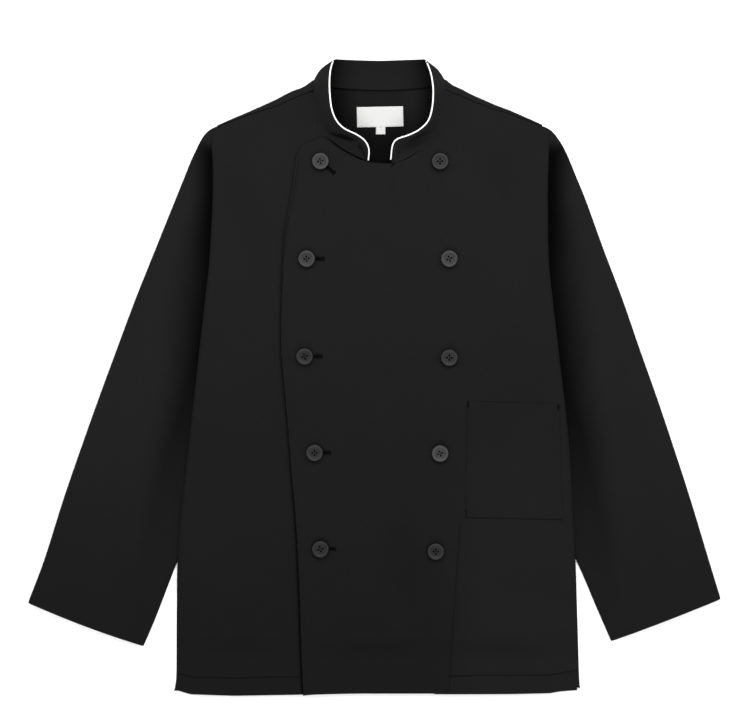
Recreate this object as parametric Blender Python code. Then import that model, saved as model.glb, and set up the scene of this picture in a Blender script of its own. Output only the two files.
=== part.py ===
"""Chef jacket laid out flat, front side up.

Metres, +Z up. The jacket lies on the plane z = 0 with its collar towards +Y.
Every piece of cloth is a wall. The sides of the body lie over the sleeves.
Left and right in the names of the pieces are the wearer's, so a name with
left stands at +X.
"""
import math

import bmesh
import bpy
import numpy as np
from mathutils import Vector

# Driving sizes of the cloth
CLOTH = 0.0012            # thickness of one layer
SEAM_GAP = 0.0003         # air between pieces that touch
PLY = CLOTH + SEAM_GAP    # what one more layer adds to the height
LOFT = 0.0016             # air left between the front and the back
SIDE_ROLL = 0.004         # width of the rounded fold down the side of the body
SIDE_ROLL_TURNS = (35, 65, 90)
HEM_LIFT = 0.0006         # clearance of the side folds over the floor
FOLD_GAP = 0.0009         # clearance of the side folds over the sleeves

# Back: points along its side and armhole edges, and the turn between the two
BACK_SIDE_ROWS = 9
BACK_ARMHOLE_ROWS = 6
ARMHOLE_TURN = 0.018
ARMHOLE_GAP = 0.0011

# Shoulders
ROLL_FLATNESS = 0.6           # width of the roll at the shoulder over its height
NECK_STEP = 0.0004            # length of the rows that carry the roll past the neck
SHOULDER_STRIP_MIN = 0.0019   # strips narrower than this have no seam to the front
SHOULDER_FROM_X = 0.0750      # the seams start this far out, at the collar
SHOULDER_TIP_DROP = 0.0030    # the front's corner lies this far below its last seam point

# Sleeves
SLEEVE_TUCKED = 0.0034    # height of the sleeve where the body lies on it
SLEEVE_FULL = 0.0062      # height of the sleeve away from the body
SLEEVE_RISE = 0.045       # distance over which it fills out
SLEEVE_ROLL = 0.004       # width of the rounded folds along the sleeve
SECTION_STEPS = 400       # steps in which the body's edge is looked for across a sleeve
BODY_CLEAR = 0.006        # the sleeve stays low this far outside the body
CROTCH_Y = -0.205         # height where the sleeve comes out from under the body
CROTCH_CLEAR = 0.010      # the body stays up this far below that
CROTCH_RAMP = 0.050       # and then comes down over this height
UNDERARM_Y = 0.024        # bottom of the armhole
UNDERARM_CLEAR = 0.020    # the back stays up this far above the underarm
UNDERARM_RAMP = 0.050     # and then comes down over this height

# How far past the sleeve's inner edge each layer stays up, and over what width
# it then comes down
BACK_CLEAR = 0.026
BACK_RAMP = 0.024
FRONT_CLEAR = 0.030
FRONT_RAMP = 0.080

# The upper front comes down past the hidden edge of the under front in the same way
OVERLAP_CLEAR = 0.015
OVERLAP_RAMP = 0.080

# Collar, piping and labels
NECK_CENTRE_X = 0.0063    # middle of the neck
BACK_NECK_HALF = 0.066    # half the width of the back neck, where the collar comes down
BACK_NECK_RAMP = 0.010    # to the back over this width
BACK_NECK_Y = 0.320       # the back neck lies above this height
COLLAR_STEPS = 3          # faces across the collar's height
PIPING_RADIUS = 0.00125
LABEL_THICKNESS = 0.0008
LABEL_CENTRE = (0.0064, 0.2982)
LABEL_SIZE = (0.053, 0.0225)
TAB_CENTRE = (0.0071, 0.2821)
TAB_SIZE = (0.0108, 0.0080)

# Buttons and buttonholes
BUTTON_SEGMENTS = 18
BUTTON_HOLE_RADIUS = 0.0009
BUTTON_HOLE_REACH = 0.0024
BUTTON_HOLE_TURN = math.radians(10)
BUTTON_CLEARANCE = 0.0010    # height of the shank between cloth and button
SHANK_RADIUS = 0.0009
BUTTONHOLE_WIDTH = 0.0026
BUTTONHOLE_BACK = 0.0030     # slit behind the button's centre
CUTTER_DEPTH = 0.010         # long enough to pass through a button or a layer

# Side folds of the body: height above the middle, wearer's right, wearer's left
SIDES = (
    # y,      x_right,  x_left
    (-0.3560, -0.2263, 0.2343),
    (-0.2850, -0.2261, 0.2320),
    (-0.2190, -0.2252, 0.2297),
    (-0.1620, -0.2217, 0.2270),
    (-0.0710, -0.2115, 0.2217),
    (0.0205, -0.2012, 0.2115),
    (0.0890, -0.1935, 0.2035),
    (0.1345, -0.1885, 0.1989),
    (0.2030, -0.1853, 0.1978),
    (0.2480, -0.1876, 0.1985),
    (0.2830, -0.1898, 0.2001),
)

# Edge of the overlap on the upper front, from the hem up
OVERLAP_EDGE = (
    # x,      y
    (-0.0815, -0.3613),
    (-0.0838, -0.3100),
    (-0.0861, -0.2400),
    (-0.0895, -0.1730),
    (-0.0952, -0.1050),
    (-0.1010, -0.0360),
    (-0.1061, 0.0200),
    (-0.1072, 0.0550),
    (-0.1055, 0.1120),
    (-0.1032, 0.1570),
    (-0.0930, 0.2140),
    (-0.0875, 0.2540),
)

# Top of the upper front, from the overlap's corner along the neckline to the shoulder
UPPER_NECKLINE = (
    (-0.0875, 0.2540),
    (-0.0846, 0.2630),
    (-0.0792, 0.2668),
    (-0.0690, 0.2706),
    (-0.0587, 0.2747),
    (-0.0453, 0.2646),
    (-0.0350, 0.2574),
    (-0.0205, 0.2501),
    (-0.0089, 0.2472),
    (0.0029, 0.2451),
    (0.0200, 0.2446),
    (0.0330, 0.2480),
    (0.0462, 0.2555),
    (0.0600, 0.2670),
    (0.0700, 0.2780),
    (0.0770, 0.2940),
    (0.0810, 0.3120),
)

# Top of the under front, from the shoulder along the neckline to its hidden corner
UNDER_NECKLINE = (
    (-0.0690, 0.3110),
    (-0.0660, 0.2930),
    (-0.0585, 0.2770),
    (-0.0453, 0.2662),
    (-0.0350, 0.2590),
    (-0.0205, 0.2517),
    (-0.0100, 0.2450),
    (0.0100, 0.2425),
    (0.0350, 0.2440),
    (0.0650, 0.2500),
    (0.0950, 0.2560),
)

# Hidden edge of the under front, from the hem up
UNDER_EDGE = (
    (0.0880, -0.3560),
    (0.0930, -0.2000),
    (0.1050, -0.0500),
    (0.1130, 0.0600),
    (0.1080, 0.1500),
    (0.0950, 0.2560),
)

# Hems between the two side folds, or between a side fold and the front's edge
UNDER_HEM = (
    # x,      y
    (-0.1600, -0.3613),
    (-0.0850, -0.3600),
    (0.0000, -0.3585),
)
UPPER_HEM = (
    (-0.0700, -0.3600),
    (-0.0200, -0.3590),
    (0.1600, -0.3590),
    (0.2120, -0.3560),
)
BACK_HEM = (
    (-0.1700, -0.3600),
    (0.1800, -0.3595),
)

# Top of the back, from shoulder to shoulder through the back neck, with the width
# of the strip that rolls over to the shoulder seam
BACK_TOP = (
    # x,      y,       strip
    (-0.1800, 0.2868, 0.0020),
    (-0.1659, 0.2941, 0.0025),
    (-0.1397, 0.3055, 0.0040),
    (-0.1134, 0.3169, 0.0075),
    (-0.0929, 0.3283, 0.0100),
    (-0.0792, 0.3340, 0.0110),
    (-0.0715, 0.3350, 0.0040),
    (-0.0640, 0.3335, 0.0000),
    (-0.0400, 0.3315, 0.0000),
    (0.0063, 0.3305, 0.0000),
    (0.0550, 0.3315, 0.0000),
    (0.0780, 0.3335, 0.0000),
    (0.0860, 0.3350, 0.0040),
    (0.0930, 0.3340, 0.0085),
    (0.1060, 0.3283, 0.0080),
    (0.1237, 0.3169, 0.0065),
    (0.1500, 0.3055, 0.0040),
    (0.1760, 0.2941, 0.0025),
    (0.1900, 0.2880, 0.0020),
)

# Sleeves, from the armhole to the cuff: outer fold, inner fold
SLEEVE_RIGHT = (
    # outer_x, outer_y, inner_x, inner_y
    (-0.1800, 0.2750, -0.1790, 0.0240),
    (-0.1975, 0.2690, -0.1800, -0.0200),
    (-0.2120, 0.2390, -0.1840, -0.0600),
    (-0.2274, 0.2030, -0.1890, -0.1000),
    (-0.2502, 0.1460, -0.1965, -0.1400),
    (-0.2730, 0.0890, -0.2040, -0.1650),
    (-0.2942, 0.0320, -0.2130, -0.1870),
    (-0.3152, -0.0250, -0.2255, -0.2110),
    (-0.3355, -0.0820, -0.2345, -0.2340),
    (-0.3551, -0.1390, -0.2440, -0.2590),
    (-0.3768, -0.2075, -0.2535, -0.2830),
    (-0.3950, -0.2554, -0.2616, -0.3044),
)
SLEEVE_LEFT = (
    (0.1900, 0.2750, 0.1890, 0.0240),
    (0.2092, 0.2690, 0.1900, -0.0200),
    (0.2235, 0.2390, 0.1935, -0.0600),
    (0.2400, 0.2030, 0.1980, -0.1000),
    (0.2605, 0.1460, 0.2040, -0.1400),
    (0.2822, 0.0890, 0.2110, -0.1650),
    (0.3030, 0.0320, 0.2200, -0.1850),
    (0.3221, -0.0250, 0.2300, -0.2075),
    (0.3412, -0.0820, 0.2400, -0.2300),
    (0.3597, -0.1390, 0.2500, -0.2540),
    (0.3813, -0.2075, 0.2600, -0.2770),
    (0.3950, -0.2497, 0.2696, -0.2987),
)

# Collar, from its right front end round the back to its left front end
COLLAR = (
    # rim_x,  rim_y,  rim_z,  seam_x,  seam_y
    (-0.0082, 0.2492, 0.0100, -0.0095, 0.2478),
    (-0.0063, 0.2599, 0.0150, -0.0130, 0.2492),
    (-0.0103, 0.2679, 0.0185, -0.0205, 0.2526),
    (-0.0205, 0.2747, 0.0210, -0.0345, 0.2598),
    (-0.0348, 0.2816, 0.0225, -0.0460, 0.2680),
    (-0.0439, 0.2907, 0.0235, -0.0570, 0.2780),
    (-0.0496, 0.3044, 0.0240, -0.0640, 0.2935),
    (-0.0519, 0.3238, 0.0240, -0.0668, 0.3120),
    (-0.0519, 0.3420, 0.0220, -0.0680, 0.3260),
    (-0.0490, 0.3560, 0.0180, -0.0600, 0.3325),
    (-0.0393, 0.3593, 0.0130, -0.0420, 0.3310),
    (0.0063, 0.3583, 0.0110, 0.0063, 0.3290),
    (0.0519, 0.3593, 0.0130, 0.0545, 0.3310),
    (0.0600, 0.3560, 0.0180, 0.0735, 0.3325),
    (0.0656, 0.3420, 0.0220, 0.0820, 0.3260),
    (0.0678, 0.3238, 0.0240, 0.0800, 0.3120),
    (0.0656, 0.3044, 0.0240, 0.0760, 0.2935),
    (0.0599, 0.2907, 0.0235, 0.0690, 0.2770),
    (0.0496, 0.2816, 0.0225, 0.0580, 0.2655),
    (0.0382, 0.2759, 0.0210, 0.0450, 0.2560),
    (0.0257, 0.2719, 0.0185, 0.0320, 0.2490),
    (0.0200, 0.2645, 0.0150, 0.0240, 0.2462),
    (0.0177, 0.2485, 0.0100, 0.0190, 0.2456),
)

# Buttons: the outer column goes through the buttonholes. A buttonhole's reach is
# measured from the button's centre and its slope is the fall to the right.
BUTTONS = (
    # x,      y,      buttonhole reach, slope in degrees
    (-0.0616, 0.2468, 0.0215, 40),
    (-0.0773, 0.1357, 0.0205, 0),
    (-0.0796, 0.0245, 0.0203, 0),
    (-0.0682, -0.0852, 0.0188, 0),
    (-0.0616, -0.1949, 0.0178, 0),
    (0.0747, 0.2466, None, 0),
    (0.0852, 0.1357, None, 0),
    (0.0852, 0.0231, None, 0),
    (0.0747, -0.0860, None, 0),
    (0.0698, -0.1976, None, 0),
)

# Patch pocket on the upper front: corners as x, y
POCKET_TOP = ((0.1055, -0.0274), (0.2105, -0.0304))
POCKET_BOTTOM = ((0.1037, -0.1596), (0.2140, -0.1619))

# Button from its middle below, round the rim, to its sunk middle above
BUTTON_PROFILE = (
    # radius, height
    (0.0000, 0.0000),
    (0.0072, 0.0000),
    (0.0094, 0.0010),
    (0.0100, 0.0021),
    (0.0094, 0.0032),
    (0.0078, 0.0034),
    (0.0055, 0.0024),
    (0.0000, 0.0022),
)

COLOURS = {
    # name: (red, green, blue, roughness)
    "black_twill": (0.0150, 0.0150, 0.0160, 0.9),
    "white_piping": (0.85, 0.85, 0.83, 0.7),
    "label_satin": (0.80, 0.80, 0.78, 0.6),
    "dark_button": (0.060, 0.060, 0.060, 0.4),
    "black_thread": (0.012, 0.012, 0.012, 0.8),
}


def clear_scene():
    """Removes every object that is in the scene."""
    for item in list(bpy.data.objects):
        bpy.data.objects.remove(item, do_unlink=True)


def make_material(name):
    """Makes a plain Principled material from its row in COLOURS."""
    red, green, blue, roughness = COLOURS[name]
    material = bpy.data.materials.new(name)
    material.use_nodes = True
    shader = material.node_tree.nodes["Principled BSDF"]
    shader.inputs["Base Color"].default_value = (red, green, blue, 1.0)
    shader.inputs["Roughness"].default_value = roughness
    shader.inputs["Metallic"].default_value = 0.0
    return material


def ease(value):
    """Goes smoothly from 0 to 1 while value goes from 0 to 1."""
    value = min(max(value, 0.0), 1.0)
    return value * value * (3.0 - 2.0 * value)


def column(table, index):
    """Gives one column of a table."""
    return [row[index] for row in table]


def smooth_spans(table, parts):
    """Runs a smooth curve through the rows of a table."""
    rows = np.array(table, dtype=float)
    padded = np.vstack([2 * rows[0] - rows[1], rows, 2 * rows[-1] - rows[-2]])
    result = []
    for index in range(1, len(padded) - 2):
        before, first, last, after = padded[index - 1:index + 3]
        for step in range(parts):
            t = step / parts
            result.append(0.5 * (2 * first + (last - before) * t
                                 + (2 * before - 5 * first + 4 * last - after) * t * t
                                 + (3 * first - before - 3 * last + after) * t ** 3))
    result.append(rows[-1])
    return np.array(result)


def fractions_along(points):
    """Gives how far along a line each of its points lies, from 0 to 1."""
    steps = np.hypot(*np.diff(points[:, :2], axis=0).T)
    return np.concatenate([[0.0], np.cumsum(steps)]) / steps.sum()


def read_line(points, fractions):
    """Reads a line of points at the given fractions of its length."""
    along = fractions_along(points)
    return np.array([np.interp(fractions, along, points[:, axis]) for axis in (0, 1)]).T


def patch(bottom, top, start, end):
    """Fills the area between four edges with a grid of x, y points.

    bottom and top run to +X, and start and end run to +Y. The grid has a column for
    each point of top, and a row for each point of start and end.
    """
    across = fractions_along(top)
    up = fractions_along(start)
    low = read_line(bottom, across)
    u = across[None, :, None]
    v = up[:, None, None]
    corners = ((1 - u) * (1 - v) * low[0] + u * (1 - v) * low[-1]
               + (1 - u) * v * top[0, :2] + u * v * top[-1, :2])
    return ((1 - v) * low[None] + v * top[None, :, :2]
            + (1 - u) * start[:, None] + u * end[:, None] - corners)


def side_x(y, side):
    """Gives the side fold of the body at a height; side is -1 or 1."""
    return float(np.interp(y, column(SIDES, 0), column(SIDES, 1 if side < 0 else 2)))


def sleeve_inner_x(y, side):
    """Gives the inner edge of the sleeve, hidden or not, at a height."""
    table = SLEEVE_RIGHT if side < 0 else SLEEVE_LEFT
    heights = column(table, 3)[::-1] + [table[0][1]]
    edges = column(table, 2)[::-1] + [table[0][0]]
    return float(np.interp(y, heights, edges))


def sleeve_below(x, y, clear, ramp):
    """Gives how far the tucked sleeve lifts what lies on it, from 0 to 1."""
    side = -1 if x < 0 else 1
    inside = side * (x - sleeve_inner_x(y, side))
    above_crotch = ease((y - CROTCH_Y + CROTCH_CLEAR + CROTCH_RAMP) / CROTCH_RAMP)
    return ease((inside + clear + ramp) / ramp) * above_crotch


def back_inside(x, y):
    """Gives the height of the back's inner surface."""
    beside_armhole = ease((UNDERARM_Y + UNDERARM_CLEAR + UNDERARM_RAMP - y) / UNDERARM_RAMP)
    lifted = sleeve_below(x, y, BACK_CLEAR, BACK_RAMP) * beside_armhole
    return CLOTH + (SLEEVE_TUCKED + SEAM_GAP) * lifted


def under_front_top(x, y):
    """Gives the height of the under front's upper surface."""
    lifted = sleeve_below(x, y, FRONT_CLEAR, FRONT_RAMP)
    below = (SLEEVE_TUCKED + SEAM_GAP) * lifted + LOFT * (1 - lifted)
    return below + CLOTH + SEAM_GAP + CLOTH


def upper_front_top(x, y):
    """Gives the height of the upper front's upper surface."""
    hidden_edge = np.interp(y, column(UNDER_EDGE, 1), column(UNDER_EDGE, 0))
    on_under_front = ease((hidden_edge + OVERLAP_CLEAR + OVERLAP_RAMP - x) / OVERLAP_RAMP)
    return under_front_top(x, y) + PLY * on_under_front


def link(mesh, name, material):
    """Puts a mesh in the scene as the named object with its material."""
    mesh.materials.append(material)
    item = bpy.data.objects.new(name, mesh)
    bpy.context.collection.objects.link(item)
    return item


def sheet(name, grid, material, thickness=CLOTH, flip=False, closed=False, inset=0.0,
          even=True):
    """Makes a cloth wall from a grid of points on its outer surface.

    The wall's thickness goes inwards. closed joins the last column to the first,
    inset first moves the surface inwards, and even keeps the thickness at folds.
    """
    rows, columns = len(grid), len(grid[0])
    body = bmesh.new()
    points = [[body.verts.new(Vector(point)) for point in row] for row in grid]
    for r in range(rows - 1):
        for c in range(columns if closed else columns - 1):
            n = (c + 1) % columns
            ring = (points[r][c], points[r][n], points[r + 1][n], points[r + 1][c])
            body.faces.new(ring[::-1] if flip else ring)
    body.normal_update()
    if inset:
        for point in body.verts:
            point.co = point.co - point.normal * inset
    mesh = bpy.data.meshes.new(name)
    body.to_mesh(mesh)
    body.free()
    item = link(mesh, name, material)
    wall = item.modifiers.new("wall", "SOLIDIFY")
    wall.thickness = thickness
    wall.offset = -1.0
    wall.use_even_offset = even
    return item


def roll_side(grid, level, side):
    """Adds the rounded fold along one side of a front; grid rows hold x, y."""
    result = []
    for row in grid:
        flat = [(x, y, level(x, y)) for x, y in row]
        edge = flat[-1] if side > 0 else flat[0]
        tip = edge[0] + side * SIDE_ROLL
        on_sleeve = sleeve_below(tip, edge[1], BACK_CLEAR, BACK_RAMP)
        floor = max((SLEEVE_TUCKED + FOLD_GAP) * on_sleeve, HEM_LIFT)
        fold = []
        for degrees in SIDE_ROLL_TURNS:
            turn = math.radians(degrees)
            fold.append((edge[0] + side * SIDE_ROLL * math.sin(turn), edge[1],
                         floor + (edge[2] - floor) * math.cos(turn)))
        result.append(flat + fold if side > 0 else fold[::-1] + flat)
    return result


def side_line(side, inset, top, rows):
    """Gives the points of a side fold from the hem to the shoulder, moved inwards."""
    low = SIDES[0][0]
    heights = np.linspace(low, top, rows)
    return np.array([(side_x(y, side) - side * inset, y) for y in heights])


def away_from_body(index):
    """Gives the level direction that points out of the back's top edge at one row."""
    before = BACK_TOP[max(index - 1, 0)]
    after = BACK_TOP[min(index + 1, len(BACK_TOP) - 1)]
    run = Vector((after[0] - before[0], after[1] - before[1], 0)).normalized()
    return Vector((-run.y, run.x, 0))


def shoulder_seam(side):
    """Gives a front's shoulder seam, just below the strip that the back rolls over."""
    points = []
    for index, (x, y, strip) in enumerate(BACK_TOP):
        if strip > SHOULDER_STRIP_MIN and side * x > SHOULDER_FROM_X:
            place = Vector((x, y, 0)) - away_from_body(index) * (strip + 2 * SEAM_GAP)
            points.append((place.x, place.y))
    tip = max(points, key=lambda point: side * point[0])
    last = (side_x(tip[1] - SHOULDER_TIP_DROP, side) - side * SIDE_ROLL, tip[1] - SHOULDER_TIP_DROP)
    return points + [last] if side > 0 else [last] + points


def make_fronts(material):
    """Makes the under front and the upper front."""
    under_top = np.array(shoulder_seam(-1) + list(UNDER_NECKLINE))
    end = smooth_spans(UNDER_EDGE, 4)
    start = side_line(-1, SIDE_ROLL, under_top[0][1], len(end))
    hem = np.array([start[0], *UNDER_HEM, end[0]])
    grid = patch(hem, under_top, start, end)
    sheet("front_right", roll_side(grid, under_front_top, -1), material)

    upper_top = np.array(list(UPPER_NECKLINE) + shoulder_seam(1))
    start = smooth_spans(OVERLAP_EDGE, 2)
    end = side_line(1, SIDE_ROLL, upper_top[-1][1], len(start))
    hem = np.array([start[0], *UPPER_HEM, end[0]])
    grid = patch(hem, upper_top, start, end)
    return sheet("front_left", roll_side(grid, upper_front_top, 1), material)


def back_edge(side):
    """Gives the back's edge beside one sleeve: up the side seam, then up the armhole."""
    top_x, top_y, _ = BACK_TOP[0 if side < 0 else -1]
    inset = SIDE_ROLL + 2 * SEAM_GAP
    line = [(side_x(y, side) - side * inset, y)
            for y in np.linspace(SIDES[0][0], UNDERARM_Y - ARMHOLE_TURN, BACK_SIDE_ROWS)]
    for y in np.linspace(UNDERARM_Y + ARMHOLE_TURN / 3, top_y - ARMHOLE_TURN, BACK_ARMHOLE_ROWS):
        line.append((sleeve_inner_x(y, side) - side * ARMHOLE_GAP, y))
    line.append((top_x, top_y))
    return np.array(line)


def shoulder_section(x, y, strip, out):
    """Gives the points of the back's roll over one place on its top edge.

    Where there is no strip, as at the back neck, the points only carry on flat.
    """
    front = under_front_top if x < 0 else upper_front_top
    radius = 0.5 * front(x, y) * ease(strip / SHOULDER_STRIP_MIN)
    reach = ROLL_FLATNESS * radius
    edge = Vector((x, y, 0))
    points = []
    for number, degrees in enumerate((0, 45, 90, 135, 180)):
        turn = math.radians(degrees)
        step = reach * math.sin(turn) - reach if radius else NECK_STEP * number
        points.append(edge + out * step + Vector((0, 0, radius * (1 - math.cos(turn)))))
    last = max(strip - reach, NECK_STEP)
    points.append(points[-1] + out * (NECK_STEP if radius == 0 else -last))
    return points


def make_back(material):
    """Makes the back with the strips that roll over to the shoulder seams."""
    top = np.array(BACK_TOP)
    edges = back_edge(-1), back_edge(1)
    hem = np.array([edges[0][0], *BACK_HEM, edges[1][0]])
    flat = patch(hem, top, *edges)
    grid = [[(x, y, back_inside(x, y) - CLOTH) for x, y in row] for row in flat[:-1]]
    sections = [shoulder_section(*row, away_from_body(index)) for index, row in enumerate(top)]
    grid += list(zip(*sections))
    sheet("back", grid, material, flip=True)


def sleeve_height(x, y, side):
    """Gives the height of the sleeve's upper surface away from its folds."""
    clear = side * (x - side_x(y, side)) if y > SIDES[0][0] else SLEEVE_RISE
    return SLEEVE_TUCKED + (SLEEVE_FULL - SLEEVE_TUCKED) * ease((clear - BODY_CLEAR) / SLEEVE_RISE)


def body_edge_along(outer, inner, side):
    """Gives where the side fold of the body crosses a section of a sleeve, from its outer fold."""
    length = math.dist(outer, inner)
    along = length
    if inner[1] > CROTCH_Y:
        for step in range(SECTION_STEPS):
            share = step / SECTION_STEPS
            x = outer[0] + (inner[0] - outer[0]) * share
            y = outer[1] + (inner[1] - outer[1]) * share
            if side * (x - side_x(y, side)) < BODY_CLEAR:
                along = length * share
                break
    return min(max(along, 5 * SLEEVE_ROLL), length - 3 * SLEEVE_ROLL)


def sleeve_ring(outer, inner, side):
    """Gives the points round one section of a sleeve, from fold to fold and back."""
    length = math.dist(outer, inner)
    body_edge = body_edge_along(outer, inner, side)
    stops = [SLEEVE_ROLL + (body_edge - SLEEVE_ROLL) * share for share in (0.25, 0.5, 0.75, 1.0)]
    stops.append((body_edge + length - SLEEVE_ROLL) / 2)
    outer_fold = []
    for degrees in (-90, -45, 0, 45, 90):
        turn = math.radians(degrees)
        outer_fold.append((SLEEVE_ROLL * (1 - math.cos(turn)), 0.5 + 0.5 * math.sin(turn)))
    places = list(outer_fold)
    places += [(stop, 1.0) for stop in stops]
    places += [(length - along, level) for along, level in outer_fold[::-1]]
    places += [(stop, 0.0) for stop in stops[::-1]]
    ring = []
    for along, level in places:
        x = outer[0] + (inner[0] - outer[0]) * along / length
        y = outer[1] + (inner[1] - outer[1]) * along / length
        ring.append((x, y, level * sleeve_height(x, y, side)))
    return ring


def make_sleeves(material):
    """Makes the two sleeves as tubes that are open at the armhole and the cuff."""
    for name, table, side in (("sleeve_right", SLEEVE_RIGHT, -1),
                              ("sleeve_left", SLEEVE_LEFT, 1)):
        rings = [sleeve_ring(row[:2], row[2:], side) for row in table]
        sheet(name, rings, material, flip=side < 0, closed=True)


def collar_rows():
    """Gives the collar's bands as points of its outer face, from the seam to the rim."""
    grid = []
    for rim_x, rim_y, rim_z, seam_x, seam_y in smooth_spans(COLLAR, 2):
        front = under_front_top if seam_x < NECK_CENTRE_X else upper_front_top
        from_middle = abs(seam_x - NECK_CENTRE_X)
        at_back = ease((BACK_NECK_HALF - from_middle) / BACK_NECK_RAMP) * (seam_y > BACK_NECK_Y)
        rest = front(seam_x, seam_y) * (1 - at_back) + CLOTH * at_back
        seam = Vector((seam_x, seam_y, rest + 2 * SEAM_GAP))
        rim = Vector((rim_x, rim_y, rim_z))
        grid.append([seam.lerp(rim, step / COLLAR_STEPS) for step in range(COLLAR_STEPS + 1)])
    return grid


def make_collar(cloth, white):
    """Makes the two layers of the stand collar and the piping along its rim."""
    grid = collar_rows()
    sheet("collar_outer", grid, cloth, even=False)
    sheet("collar_inner", grid, cloth, inset=PLY + SEAM_GAP, even=False)
    curve = bpy.data.curves.new("collar_piping", "CURVE")
    curve.dimensions = "3D"
    curve.bevel_depth = PIPING_RADIUS
    curve.bevel_resolution = 2
    curve.use_fill_caps = True
    line = curve.splines.new("POLY")
    line.points.add(len(grid) - 1)
    for index, point in enumerate(line.points):
        before = grid[max(index - 1, 0)]
        after = grid[min(index + 1, len(grid) - 1)]
        up = (grid[index][-1] - grid[index][0]).normalized()
        along_seam = (after[0] - before[0]).normalized()
        along_rim = (after[-1] - before[-1]).normalized()
        beyond = up * along_rim.dot(along_seam) - along_seam * along_rim.dot(up)
        inwards = along_seam.cross(up).normalized() * -1.0
        place = grid[index][-1] + beyond.normalized() * (PIPING_RADIUS + 2 * SEAM_GAP)
        place += inwards * (CLOTH + SEAM_GAP)
        point.co = (*place, 1.0)
    link(curve, "collar_piping", white)


def slab(name, corners, level, thickness, material, cells):
    """Lays a four-cornered piece on a surface; corners are bottom then top edge."""
    bottom, top = np.array(corners[0], dtype=float), np.array(corners[1], dtype=float)
    grid = []
    for v in np.linspace(0, 1, cells + 1):
        start = bottom[0] + (top[0] - bottom[0]) * v
        end = bottom[1] + (top[1] - bottom[1]) * v
        row = []
        for u in np.linspace(0, 1, cells + 1):
            x, y = start + (end - start) * u
            row.append((x, y, level(x, y) + SEAM_GAP + thickness))
        grid.append(row)
    return sheet(name, grid, material, thickness=thickness)


def rectangle(centre, size):
    """Gives the bottom and top edges of an upright rectangle."""
    (x, y), (w, h) = centre, size
    return (((x - w / 2, y - h / 2), (x + w / 2, y - h / 2)),
            ((x - w / 2, y + h / 2), (x + w / 2, y + h / 2)))


def button_mesh():
    """Turns the button's profile and drills its four holes."""
    body = bmesh.new()
    rings = []
    for radius, height in BUTTON_PROFILE:
        if radius == 0.0:
            rings.append([body.verts.new((0, 0, height))])
            continue
        ring = []
        for step in range(BUTTON_SEGMENTS):
            turn = math.tau * step / BUTTON_SEGMENTS
            ring.append(body.verts.new((radius * math.cos(turn), radius * math.sin(turn), height)))
        rings.append(ring)
    for low, high in zip(rings[:-1], rings[1:]):
        for step in range(BUTTON_SEGMENTS):
            n = (step + 1) % BUTTON_SEGMENTS
            ends = [low[step % len(low)], low[n % len(low)], high[n % len(high)],
                    high[step % len(high)]]
            body.faces.new(list(dict.fromkeys(ends)))
    bmesh.ops.recalc_face_normals(body, faces=body.faces)
    mesh = bpy.data.meshes.new("button")
    body.to_mesh(mesh)
    body.free()
    return mesh


def helper(name, body):
    """Makes a cutter that only modifiers see."""
    mesh = bpy.data.meshes.new(name)
    body.to_mesh(mesh)
    body.free()
    item = bpy.data.objects.new(name, mesh)
    bpy.context.collection.objects.link(item)
    item.hide_render = True
    item.display_type = "WIRE"
    return item


def cut(item, cutter):
    """Cuts one object with another."""
    boolean = item.modifiers.new("cut", "BOOLEAN")
    boolean.operation = "DIFFERENCE"
    boolean.solver = "EXACT"
    boolean.object = cutter


def button_drills(name, place):
    """Makes the four drills for one button."""
    body = bmesh.new()
    for quarter in range(4):
        turn = BUTTON_HOLE_TURN + quarter * math.tau / 4
        made = bmesh.ops.create_cone(body, cap_ends=True, segments=6, depth=CUTTER_DEPTH,
                                     radius1=BUTTON_HOLE_RADIUS, radius2=BUTTON_HOLE_RADIUS)
        shift = Vector((math.cos(turn), math.sin(turn), 0)) * BUTTON_HOLE_REACH
        bmesh.ops.translate(body, verts=made["verts"], vec=shift + place)
    return helper(name, body)


def slit_cutter(name, place, reach, slope):
    """Makes the cutter of one buttonhole, which starts a little behind the button's centre."""
    body = bmesh.new()
    bmesh.ops.create_cube(body, size=1.0)
    size = (reach + BUTTONHOLE_BACK, BUTTONHOLE_WIDTH, CUTTER_DEPTH)
    bmesh.ops.scale(body, vec=size, verts=body.verts)
    bmesh.ops.translate(body, vec=((reach - BUTTONHOLE_BACK) / 2, 0, 0), verts=body.verts)
    item = helper(name, body)
    item.rotation_euler = (0, 0, -math.radians(slope))
    item.location = place
    return item


def make_shank(name, place, height, thread):
    """Makes the thread that a button stands on, from the cloth upwards."""
    body = bmesh.new()
    bmesh.ops.create_cone(body, cap_ends=True, segments=8, depth=height,
                          radius1=SHANK_RADIUS, radius2=SHANK_RADIUS)
    mesh = bpy.data.meshes.new(name)
    body.to_mesh(mesh)
    body.free()
    shank = link(mesh, name, thread)
    shank.location = place + Vector((0, 0, height / 2))


def make_buttons(plastic, thread, upper_front):
    """Makes the buttons, their shanks and the buttonholes in the upper front."""
    mesh = button_mesh()
    mesh.materials.append(plastic)
    for number, (x, y, reach, slope) in enumerate(BUTTONS, start=1):
        foot = upper_front_top(x, y)
        seat = Vector((x, y, foot + BUTTON_CLEARANCE))
        button = bpy.data.objects.new(f"button_{number:02d}", mesh)
        bpy.context.collection.objects.link(button)
        button.location = seat
        cut(button, button_drills(f"drills_{number:02d}", seat))
        if reach is not None:
            foot -= PLY
            cut(upper_front, slit_cutter(f"slit_{number:02d}", seat, reach, slope))
        height = seat.z - foot - 2 * SEAM_GAP
        make_shank(f"shank_{number:02d}", Vector((x, y, foot + SEAM_GAP)), height, thread)


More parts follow.
